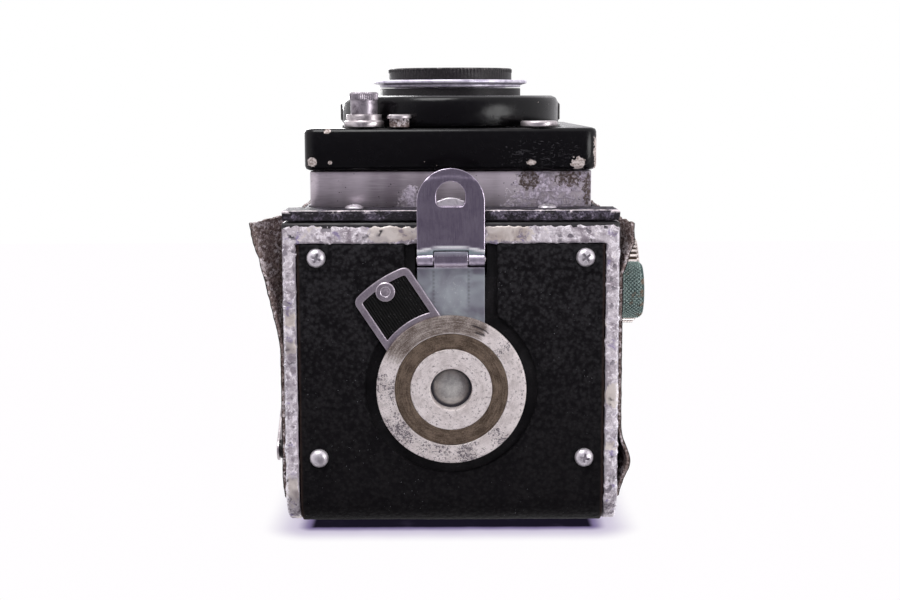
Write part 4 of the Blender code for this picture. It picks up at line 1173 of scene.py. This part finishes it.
def lock_lever():
    """Lever that turns round the socket: a hoop, an open frame with a stud, and a ribbed inlay."""
    frame_z = 0.55
    window = finger(5.85, 28.45, 0.5, 18.5)
    outline = finger(7.4, 30.2, 1.8, 16.9)
    item = sheet("lever_frame", outline, facing_down(frame_z), 0.75, [LEVER], [window], 0.9, 0.22,
                 lambda u, v, reach: -0.10 * (1 - smooth(math.hypot(u, v), 18.0, 18.3)))
    dress(item, "lock_lever", "nickel_plate", "lock_lever")

    hoop = [(16.8, 1.1), (16.8, 1.4), (8.5, 1.4), (8.5, 1.1)]
    item = turned("lever_hoop", hoop, "Z", (0, 0), [LEVER], 96, bored=True)
    dress(item, "lock_lever", "nickel_plate", "lock_lever")

    stud = [(0, 0.16), (0.5, 0.18), (0.75, 0.30), (1.0, 0.30), (1.15, 0.20), (1.35, 0.26),
            (1.6, 0.2), (2.0, 0.24), (2.2, 0.42), (2.2, 1.3), (0, 1.3)]
    item = turned("lever_stud", stud, "Z", lever_point(27.1, 0.0), [LEVER], 64)
    dress(item, "lock_lever", "nickel_plate", "lock_lever")

    pitch, depth, floor, under = 0.62, 0.16, 1.0, 1.35
    start, end, half = 16.9, 28.6, 6.3
    columns, rows = int(2 * half / pitch * 8), 40

    def inlay_point(row, column, layer):
        across = -half + 2 * half * column / columns
        x, y = lever_point(start + (end - start) * row / rows, across)
        crest = 0.5 + 0.5 * math.cos(2 * math.pi * across / pitch)
        wear = 0.04 * rough(x, y, 3.0, 0.9, 2)
        return at(x, y, under if layer else floor - depth * crest ** 0.6 + wear)

    bm = bmesh.new()
    grids = [[[bm.verts.new(inlay_point(row, column, layer)) for column in range(columns + 1)]
              for row in range(rows + 1)] for layer in range(2)]
    for grid in grids:
        for near, far in zip(grid, grid[1:]):
            for column in range(columns):
                bm.faces.new((near[column], near[column + 1], far[column + 1], far[column]))
    upper, lower = grids
    border = [(0, column) for column in range(columns)] + [(row, columns) for row in range(rows)]
    border += [(rows, column) for column in range(columns, 0, -1)] + [(row, 0) for row in range(rows, 0, -1)]
    for (row, column), (next_row, next_column) in zip(border, border[1:] + border[:1]):
        bm.faces.new((upper[row][column], upper[next_row][next_column], lower[next_row][next_column],
                      lower[row][column]))
    inlay = to_object("lever_inlay", bm, [RIBBED])
    paint(inlay, "crest", lambda x, y, z: smooth(floor - z, 0.02, 0.12))
    dress(inlay, "lock_lever", "black_enamel", "lock_lever")


def latch_tongue():
    """Round-ended blade with the catch's hole, and the two knuckles it hinges on."""
    low, high = box_mm("latch_tongue")
    half = high.x
    tip_y = low.y + half
    rear = -31.0
    outline = [(half, rear), (4.0, rear), (4.0, -32.0), (-4.0, -32.0), (-4.0, rear), (-half, rear)]
    outline += arc((0, tip_y), half, 180, 360, 48)
    hole_y = -44.4
    hole = arc((0, hole_y), 3.3, 180, 360, 32)
    hole += arc((2.2, -43.1), 1.1, 0, 90, 6) + arc((-2.2, -43.1), 1.1, 90, 180, 6)

    def arch(x):
        """Where the blade starts to bend back, an arched line across its root."""
        return -32.8 + (x / half) ** 2

    def relief(u, v, reach):
        """Flat blade, bent back at its root and stepped down at its tip."""
        root = -0.45 * smooth(v, arch(u), arch(u) + 1.5)
        tip = -0.32 * smooth(-v, 48.2 - 0.02 * u * u, 49.3 - 0.02 * u * u)
        sag = 0.02 * rough(u, v, 0.0, 6.0, 2)
        lip = 0.10 * smooth(math.hypot(u, v - hole_y), 4.4, 3.5) * smooth(v, -43.6, -42.8)
        return root + tip + sag + lip

    blade = sheet("tongue_blade", outline, facing_down(low.z), 0.9, [LATCH], [hole], 0.5, 0.16, relief)
    # where the painted reflection band lies, across the bent root
    paint(blade, "root", lambda x, y, z: smooth(y - arch(x), 0.1, 0.5))
    # where the painted highlight runs, along the arch
    paint(blade, "arch", lambda x, y, z: 1 - smooth(abs(y - arch(x)), 0.1, 0.5))
    dress(blade, "latch_tongue", "latch_steel", "latch_tongue")
    pin_y, pin_z, radius = -29.9, 1.6, 1.45
    rim = 0.12
    for side, name in ((-1, "left"), (1, "right")):
        near, far = sorted((side * 4.05, side * half))
        profile = [(0.72, near), (radius - rim, near), (radius, near + rim),
                   (radius, far - rim), (radius - rim, far), (0.72, far)]
        knuckle = turned(f"tongue_knuckle_{name}", refined(profile, 0.8), "X", (pin_y, pin_z), [KNUCKLE], 48,
                         bored=True)
        dress(knuckle, "latch_tongue", "latch_steel", "latch_tongue")


def latch_catch():
    """Hook in the tongue's hole: a broad bright lip on the catch's foot."""
    outline = [(3.2, -42.0), (3.2, -43.2), *arc((0, -38.8), 5.2, -62, -118, 12),
               (-3.2, -43.2), (-3.2, -42.0)]
    lip = sheet("catch_lip", outline, facing_down(0.5), 0.6, [SCREW], (), 0.4, 0.25)
    dress(lip, "camera_body", "nickel_plate", "latch_catch")
    front_y = box_mm("front_plate")[0].y
    post = block("catch_post", (0, (front_y - 43.6) / 2, 3.0), (4.4, front_y + 43.6, 4.2))
    post.data.materials.append(NICKEL)
    dress(post, "camera_body", "nickel_plate", "latch_catch")


def latch_arm():
    """Arm that pulls the tongue: a plate with a raised hinge tab at its lens-side end."""
    half = box_mm("latch_arm")[1].x
    tab_half, tab_front, shoulder, end = 3.85, -31.75, -28.1, -11.5
    plate_z, tab_z = 1.65, 0.45
    outline = [(-half, shoulder), (-tab_half, shoulder), (-tab_half, tab_front), (tab_half, tab_front),
               (tab_half, shoulder), (half, shoulder), (half, end), (-half, end)]

    def place(u, v):
        share = smooth(v, -29.3, -27.4)
        return Vector((u, v, tab_z + (plate_z - tab_z) * share)), Vector((0, 0, -1))

    def relief(u, v, reach):
        """A pressed centre strip with a shallow line each side, fine sag and dents."""
        strip = 0.06 * (1 - smooth(abs(abs(u) - 4.0), 0.0, 0.5))
        strip *= smooth(v, -28.5, -27.5) * smooth(-v, 19.0, 23.0)
        return 0.05 * rough(u, v, 2.0, 5.0, 3) - strip

    plate = sheet("arm_plate", outline, place, 0.55, [LATCH], (), 0.5, 0.14, relief)
    # where the painted shade lies, in the arm's two shallow lines
    paint(plate, "line", lambda x, y, z: (1 - smooth(abs(abs(x) - 4.0), 0.05, 0.3)) * smooth(y, -28.5, -27.5)
          * smooth(y, -16.0, -22.0))
    # the tab's front takes half of the painted reflection band
    paint(plate, "root", lambda x, y, z: 0.5 * smooth(y, -30.6, -31.2))
    dress(plate, "latch_arm", "latch_steel", "latch_arm")


# ---------------------------------------------------------------- side coverings

def lift_left(y, z):
    """Peeled lower front corner of the crank side's covering."""
    forward = min(max((-y - 9.0) / 28.0, 0.0), 1.0)
    height = min(max((34.0 - z) / 30.0, 0.0), 1.0)
    return 6.6 * forward ** 1.2 * height ** 0.8


def lift_right(y, z):
    """The focus side's covering curls at its front edge and folds out near the heel."""
    forward = min(max((-y - 26.0) / 7.0, 0.0), 1.0)
    height = min(max((30.0 - z) / 26.0, 0.0), 1.0)
    fold = 2.2 * math.exp(-((y - 17.5) / 4.5) ** 2)
    return (2.5 * forward + fold) * height


def side_covering(side, name, lift, knobs):
    """One wall's covering, with round holes of given radii for its knobs."""
    wall = 38.65
    holes = [circle(round_node(node, "X")[0], radius) for node, radius in knobs.items()]
    front, rear, bottom, top = -38.0, 28.0, 3.0, 99.0
    heel = arc((rear - 8.0, bottom + 8.0), 8.0, 270, 360, 10)
    outline = [(front, bottom), *heel, (rear, top), (front, top)]
    thickness = 0.75

    def place(u, v):
        out = lift(u, v)
        step = 0.5
        slope_u = (lift(u + step, v) - lift(u - step, v)) / (2 * step)
        slope_v = (lift(u, v + step) - lift(u, v - step)) / (2 * step)
        normal = Vector((side, -slope_u, -slope_v)).normalized()
        return Vector((side * (wall + thickness + out), u, v)), normal

    def relief(u, v, reach):
        loose = min(lift(u, v) / 3.0, 1.0)
        return leather_grain(u, v, side * 7.0) * 0.8 + 0.35 * loose * rough(u, v, side * 3.0, 4.0)

    item = sheet(f"{name}_covering", ragged(outline, 0.45, 2.2, side * 5.0), place, thickness,
                 [LEATHER, PEELED], holes, 0.75, 0.2, relief)
    dress(item, "camera_body", "leatherette", f"side_leather_{name}")


# ---------------------------------------------------------------- knobs and controls

def wave(angle, count):
    """Waves round an axis, from 0 to 1."""
    return 0.5 + 0.5 * math.cos(angle * count)


def diamond(angle, along, teeth, pitch):
    """Diamond knurl: 1 on a tooth's top, 0 in its valleys."""
    turn = angle * teeth / (2 * math.pi)
    first = abs(((turn + along / pitch) % 1.0) - 0.5) * 2
    second = abs(((turn - along / pitch) % 1.0) - 0.5) * 2
    return min(1.0, 1.6 * min(first, second))


def knurled_knob(name, node, material, slot, teeth, depth, corroded):
    """Knob with a diamond knurl, made lumpy by corrosion."""
    centre, radius, low, high = round_node(node, "X")
    base, face = 39.9, high.x
    profile = [(0, low.x), (2.2, low.x), (2.2, base), (radius - 0.25, base), (radius, base + 0.25),
               (radius, face - 0.7), (radius - 0.7, face), (radius - 2.4, face), (radius - 2.8, face - 0.5),
               (0, face - 0.5)]

    def ripple(angle, ring, x):
        if ring < radius - 0.3:
            return 0.0, 0.0
        lumps = corroded * rough(x, radius * math.cos(angle), radius * math.sin(angle), 1.2)
        return depth * (diamond(angle, x - base, teeth, 0.95) - 1) + lumps, 0.0

    item = turned(name, refined(profile, 0.22), "X", centre, [material], teeth * 6, ripple)

    def crest(x, y, z):
        reach = math.hypot(y - centre[0], z - centre[1])
        return smooth(reach, radius - depth, radius - 0.2 * depth) if x > base + 0.1 else 0.3

    paint(item, "crest", crest)
    dress(item, node, slot, node)


def ribbed_knob():
    """Focus knob: coarse ribs round its rim and a dished face."""
    centre, radius, low, high = round_node("focus_knob", "X")
    face = high.x
    profile = [(0, low.x), (2.5, low.x), (2.5, 40.0), (10.6, 40.0), (10.6, 41.6), (radius - 0.3, 42.1),
               (radius, 42.4), (radius, face - 0.9), (radius - 1.1, face), (radius - 2.6, face),
               (radius - 3.0, face - 0.6), (3.0, face - 0.6), (2.6, face - 0.2), (0, face - 0.2)]
    ribs, depth = 48, 0.6

    def ripple(angle, ring, x):
        if ring < radius - 1.2 or not 42.0 < x < face + 0.1:
            return 0.0, 0.0
        groove = 1 - smooth(wave(angle, ribs), 0.25, 0.6)
        return -depth * groove * smooth(ring, radius - 1.2, radius - 0.2), 0.0

    item = turned("ribbed_focus_knob", refined(profile, 0.35), "X", centre, [KNOB], ribs * 10, ripple)

    def crest(x, y, z):
        reach = math.hypot(y - centre[0], z - centre[1])
        return smooth(reach, radius - depth, radius - 0.25 * depth) if reach > radius - 0.8 else 0.75

    paint(item, "crest", crest)
    dress(item, "focus_knob", "nickel_plate", "focus_knob")


def release_button():
    """Release: a knurled button with a dished top."""
    centre, radius, low, high = round_node("release_button", "Y")
    top, teeth = low.y, 44
    profile = [(0, high.y), (radius - 0.25, high.y), (radius - 0.2, top + 1.9), (radius, top + 1.7),
               (radius, top + 0.35), (radius - 0.35, top), (radius - 0.9, top),
               (1.2, top + 0.35), (0, top + 0.4)]

    def knurl(angle, ring, y):
        if ring < radius - 0.05 or y > top + 1.75:
            return 0.0, 0.0
        return -0.16 * wave(angle, teeth), 0.0

    button = turned("knurled_release", refined(profile, 0.4), "Y", centre, [DULL], teeth * 6, knurl)
    dress(button, "release_button", "nickel_plate", "release_button")


def release_lock():
    """Lock beside the release: a dirty stem under a thin bright cap."""
    centre, radius, low, high = round_node("release_lock_lever", "Y")
    stem = [(0, high.y), (radius - 0.6, high.y), (radius - 0.6, low.y + 0.9), (0, low.y + 0.9)]
    cap = [(0, low.y + 1.0), (radius - 0.1, low.y + 0.95), (radius, low.y + 0.7),
           (radius - 0.1, low.y + 0.25), (radius - 0.5, low.y), (0, low.y)]

    def dirt(angle, ring, y):
        return 0.12 * rough(ring * math.cos(angle), ring * math.sin(angle), y, 0.8), 0.0

    item = turned("lock_stem", refined(stem, 0.4), "Y", centre, [PEELED], 48, dirt)
    dress(item, "release_lock", "nickel_plate", "release_lock_lever")
    item = turned("lock_cap", refined(cap, 0.5), "Y", centre, [NICKEL], 48)
    dress(item, "release_lock", "nickel_plate", "release_lock_lever")


def crank():
    """Thin crank arm that carries a dark grip, and the boss it folds on."""
    grip = Vector(round_node("crank_grip", "X")[0])
    hub_centre, _, hub_low, _ = round_node("crank_hub", "X")
    hub = Vector(hub_centre)
    face, thickness = box_mm("crank_arm")[0].x, 0.6
    along = (grip - hub).normalized()
    across = Vector((-along.y, along.x))
    root = hub - along * 0.8
    angle = math.degrees(math.atan2(along.y, along.x))
    outline = [root + across * 4.2, root - across * 4.2]
    outline += [Vector(point) for point in arc(grip, 3.1, angle - 90, angle + 90, 20)]
    plate = sheet("crank_plate", outline, lambda u, v: (Vector((face, u, v)), Vector((-1, 0, 0))), thickness,
                  [NICKEL], (), 1.0, 0.25)
    dress(plate, "crank_arm", "nickel_plate", "crank_arm")
    under = face + thickness - 0.05
    profile = [(0, under), (2.6, under), (2.6, hub_low.x + 0.05), (0, hub_low.x + 0.05)]
    boss = turned("crank_boss", profile, "X", tuple(hub), [NICKEL], 40)
    dress(boss, "crank_arm", "nickel_plate", "crank_arm")
    profile = [(0, under), (2.2, under), (2.55, under + 0.35), (2.55, under + 1.2), (2.9, -44.2),
               (2.4, -42.6), (2.7, -41.2), (1.8, -40.6), (0, -40.6)]
    handle = turned("crank_handle", refined(profile, 0.5), "X", tuple(grip), [BLACKENED], 48)
    dress(handle, "crank_grip", "blackened_metal", "crank_grip")


def filter_ring():
    """Filter ring of the taking lens, finely knurled at its front edge."""
    centre, outer, low, high = round_node("taking_filter_ring", "Y")
    inner, front, teeth = 13.8, low.y, 110
    profile = [(inner, high.y), (outer, high.y), (outer, front + 1.1), (outer + 0.1, front + 1.0),
               (outer + 0.1, front + 0.25), (outer - 0.2, front), (inner + 0.2, front), (inner, front + 0.2)]

    def knurl(angle, ring, y):
        return (-0.14 * wave(angle, teeth) if ring > outer + 0.05 else 0.0), 0.0

    ring = turned("knurled_filter_ring", profile, "Y", centre, [BLACKENED], teeth * 6, knurl, bored=True)
    dress(ring, "front_standard", "blackened_metal", "taking_filter_ring")


def setting_wheels():
    """The two knurled wheels between the lenses."""
    teeth = 52
    for node in ("aperture_wheel", "shutter_wheel"):
        centre, radius, low, high = round_node(node, "Y")
        front = low.y
        profile = [(0, high.y), (radius - 0.4, high.y), (radius - 0.4, high.y - 0.8), (radius, high.y - 1.1),
                   (radius, front + 0.6), (radius - 0.5, front), (radius - 1.6, front),
                   (radius - 1.9, front + 0.4), (0, front + 0.4)]

        def knurl(angle, ring, y, radius=radius):
            return (-0.22 * wave(angle, teeth) if ring > radius - 0.1 else 0.0), 0.0

        wheel = turned(f"knurled_{node}", refined(profile, 0.5), "Y", centre, [BLACKENED], teeth * 6, knurl)
        dress(wheel, node, "blackened_metal", node)


# ---------------------------------------------------------------- CAD nodes that stay

def keep_cad():
    """Give each CAD node that stays on show its material and soft edges."""
    finishes = (
        (ALLOY, 0.0, "body_casting"), (STAINED, 0.3, "front_plate"), (RECESS, 0.15, "back_door_shell"),
        (MIRROR, 0.1, "reflex_mirror"), (GROUND, 0.2, "focusing_screen"), (SKIRT, 0.2, "standard_skirt"),
        (ENAMEL, 0.0, "front_panel"), (ENAMEL, 0.2, "shutter_housing"), (ENAMEL, 0.3, "hood_lid"),
        (CHROME, 0.2, "counter_window"), (SPOOL, 0.2, "supply_spool take_up_spool"),
        (CLEAR, 0.0, "magnifier_lens"), (BAYONET, 0.1, "taking_bayonet viewing_bayonet"),
        (GLASS, 0.0, "taking_lens_glass viewing_lens_glass"),
        (NICKEL, 0.1, "latch_hinge_pin"), (NICKEL, 0.12, "release_collar sync_socket"),
        (NICKEL, 0.15, "door_hinge_pin lower_knob_base focus_scale_plate"),
        (NICKEL, 0.2, "film_roller_lower film_roller_upper crank_hub"),
        (BLACKENED, 0.05, "aperture_blades"), (BLACKENED, 0.3, "hood_base"),
        (BLACKENED, 0.15, "taking_lens_barrel viewing_lens_barrel magnifier_frame"),
        (BLACKENED, 0.2, "pressure_plate hood_rear hood_left hood_right"),
    )
    for item, material, width in [(NODES[node], material, width) for material, width, nodes in finishes
                                  for node in nodes.split()]:
        item.data.materials.clear()
        item.data.materials.append(material)
        item.data.shade_smooth()
        weld = item.modifiers.new("weld", "WELD")
        weld.merge_threshold = 0.002 * MM
        if width:
            bevel = item.modifiers.new("soft_edges", "BEVEL")
            bevel.width = width * MM
            bevel.segments = 2
            bevel.limit_method = "ANGLE"
            bevel.angle_limit = math.radians(38)
            bevel.harden_normals = True


# ---------------------------------------------------------------- stage

WHITE = (1.0, 0.985, 1.0, 1.0)
DIM_VIOLET = (0.86, 0.80, 1.0, 1.0)


def stage_surface(name, corners, f, towards, threshold):
    """A flat surface that only the camera sees, and only from one side."""
    bm = bmesh.new()
    bm.faces.new([bm.verts.new(Vector(corner)) for corner in corners])
    item = to_object(name, bm, [f.material])
    path = f.add("ShaderNodeLightPath").outputs["Is Camera Ray"]
    incoming = f.add("ShaderNodeNewGeometry").outputs["Incoming"]
    facing = f.calc("GREATER_THAN", f.vector("DOT_PRODUCT", incoming, towards), threshold)
    pick = f.add("ShaderNodeMixShader")
    f.wire(pick.inputs[0], f.times(facing, path))
    f.wire(pick.inputs[1], f.add("ShaderNodeBsdfTransparent").outputs[0])
    f.wire(pick.inputs[2], f.shader.outputs[0])
    f.wire(f.tree.nodes["Material Output"].inputs["Surface"], pick.outputs[0])


def white_floor():
    """Pale floor that takes real shadows."""
    f = Finish("white_floor", gloss=0.0)
    f.shader.inputs["Emission Color"].default_value = linear(255, 254, 255)
    f.shader.inputs["Emission Strength"].default_value = 0.45
    f.base((248, 247, 249), (253, 252, 254), f.noise(60.0, 2))
    f.done(0.9)
    return f


def white_table():
    """Overexposed table under the camera's back, with a soft painted contact shadow where the two touch."""
    f = Finish("white_table", gloss=0.0)
    # painted shadow: darkest at the body's footprint, fading to white
    beside = f.calc("MAXIMUM", f.minus(f.calc("ABSOLUTE", f.part("X")), 32.0), 0.0)
    before = f.calc("MAXIMUM", f.minus(3.5, f.part("Z")), 0.0)
    reach = f.vector("LENGTH", f.joined(beside, before))
    reach = f.plus(reach, f.times(f.off_centre(f.noise(6.0, 2)), 0.8))
    f.base((24, 21, 34), (124, 112, 150), f.levels(reach, 0.0, 1.6))
    f.coat((206, 198, 218), f.levels(reach, 1.2, 4.5))
    f.coat(WHITE, f.levels(reach, 3.0, 13.0))
    f.wire(f.shader.inputs["Emission Color"], f.colour)
    f.shader.inputs["Emission Strength"].default_value = 1.0
    f.colour = linear(0, 0, 0)
    f.done(1.0)
    return f


def make_stage():
    reach = 0.7
    square = [(-reach, -reach), (reach, -reach), (reach, reach), (-reach, reach)]
    floor_z = cad_low.z - 0.02 * MM
    stage_surface("floor", [(x, y, floor_z) for x, y in square], white_floor(), (0, 0, 1), 0.02)
    back_y = cad_high.y + 0.15 * MM
    stage_surface("table_behind", [(x, back_y, z) for x, z in square], white_table(), (0, 0, -1), 0.5)


def make_world():
    """White all round, with a dim room behind the camera that looks up at the base."""
    world = bpy.data.worlds.new("studio")
    bpy.context.scene.world = world
    world.use_nodes = True
    world.node_tree.nodes.clear()
    n = Nodes(world.node_tree)
    split = n.add("ShaderNodeSeparateXYZ")
    n.wire(split.inputs[0], n.add("ShaderNodeTexCoord").outputs["Generated"])
    level = n.levels(split.outputs["Z"], -0.97, -0.40, 0.20, 0.90)
    from_front = n.minus(1.05, n.times(split.outputs["Y"], 0.20))
    light = n.add("ShaderNodeBackground")
    n.wire(light.inputs["Color"], n.mix(DIM_VIOLET, WHITE, level))
    n.wire(light.inputs["Strength"], n.times(level, from_front))
    backdrop = n.add("ShaderNodeBackground")
    backdrop.inputs["Color"].default_value = (1.0, 1.0, 1.0, 1.0)
    pick = n.add("ShaderNodeMixShader")
    sources = (n.add("ShaderNodeLightPath").outputs["Is Camera Ray"], light.outputs[0], backdrop.outputs[0])
    for socket, source in zip(pick.inputs, sources):
        n.wire(socket, source)
    n.wire(n.add("ShaderNodeOutputWorld").inputs["Surface"], pick.outputs[0])


def make_lights():
    """Soft round lights: name, place and target in millimetres, diameter in metres, watts."""
    lights = (("key", (-160, -560, -220), (0, -10, 0), 0.35, 3.0),
              ("fill", (460, -60, -330), (0, 0, 0), 0.30, 1.4),
              ("top", (-150, -250, 650), (0, 0, 90), 0.40, 4.0),
              ("rear", (250, 520, 420), (0, 0, 90), 0.40, 2.5))
    for name, place, target, size, power in lights:
        data = bpy.data.lights.new(name, "AREA")
        data.shape = "DISK"
        data.size = size
        data.energy = power
        item = bpy.data.objects.new(name, data)
        bpy.context.scene.collection.objects.link(item)
        item.location = at(*place)
        item.rotation_euler = (at(*target) - item.location).to_track_quat("-Z", "Y").to_euler()


def make_camera():
    """Camera under the base, pitched towards the lens side, with the lenses up in its view."""
    pitch, roll, place = math.radians(7.73), math.radians(0.2), (-0.24, -65.8, -331.7)
    data = bpy.data.cameras.new("photo_camera")
    data.lens = 58.92
    data.sensor_width = 36.0
    data.clip_start = 0.01
    item = bpy.data.objects.new("photo_camera", data)
    bpy.context.scene.collection.objects.link(item)
    forward = Vector((0, math.sin(pitch), math.cos(pitch)))
    up = Matrix.Rotation(roll, 3, forward) @ Vector((0, -math.cos(pitch), math.sin(pitch)))
    turn = Matrix((forward.cross(up), up, -forward)).transposed().to_4x4()
    turn.translation = at(*place)
    item.matrix_world = turn
    bpy.context.scene.camera = item


def main():
    door_leather()
    casting_crust()
    plate_crust()
    screws()
    tripod_socket()
    lock_lever()
    latch_tongue()
    latch_catch()
    latch_arm()
    side_covering(-1, "left", lift_left, {"crank_hub": 7.4, "counter_window": 4.6})
    side_covering(1, "right", lift_right,
                  {"focus_knob": 13.8, "lower_spool_knob": 8.0, "upper_spool_knob": 7.1})
    knurled_knob("verdigris_knob", "lower_spool_knob", VERDIGRIS, "verdigris_brass", 44, 0.32, 0.06)
    knurled_knob("knurled_upper_knob", "upper_spool_knob", KNOB, "nickel_plate", 44, 0.28, 0.0)
    ribbed_knob()
    release_button()
    release_lock()
    crank()
    filter_ring()
    setting_wheels()
    keep_cad()
    make_stage()
    make_world()
    make_lights()
    make_camera()
    bpy.context.scene.view_settings.view_transform = "Standard"


main()
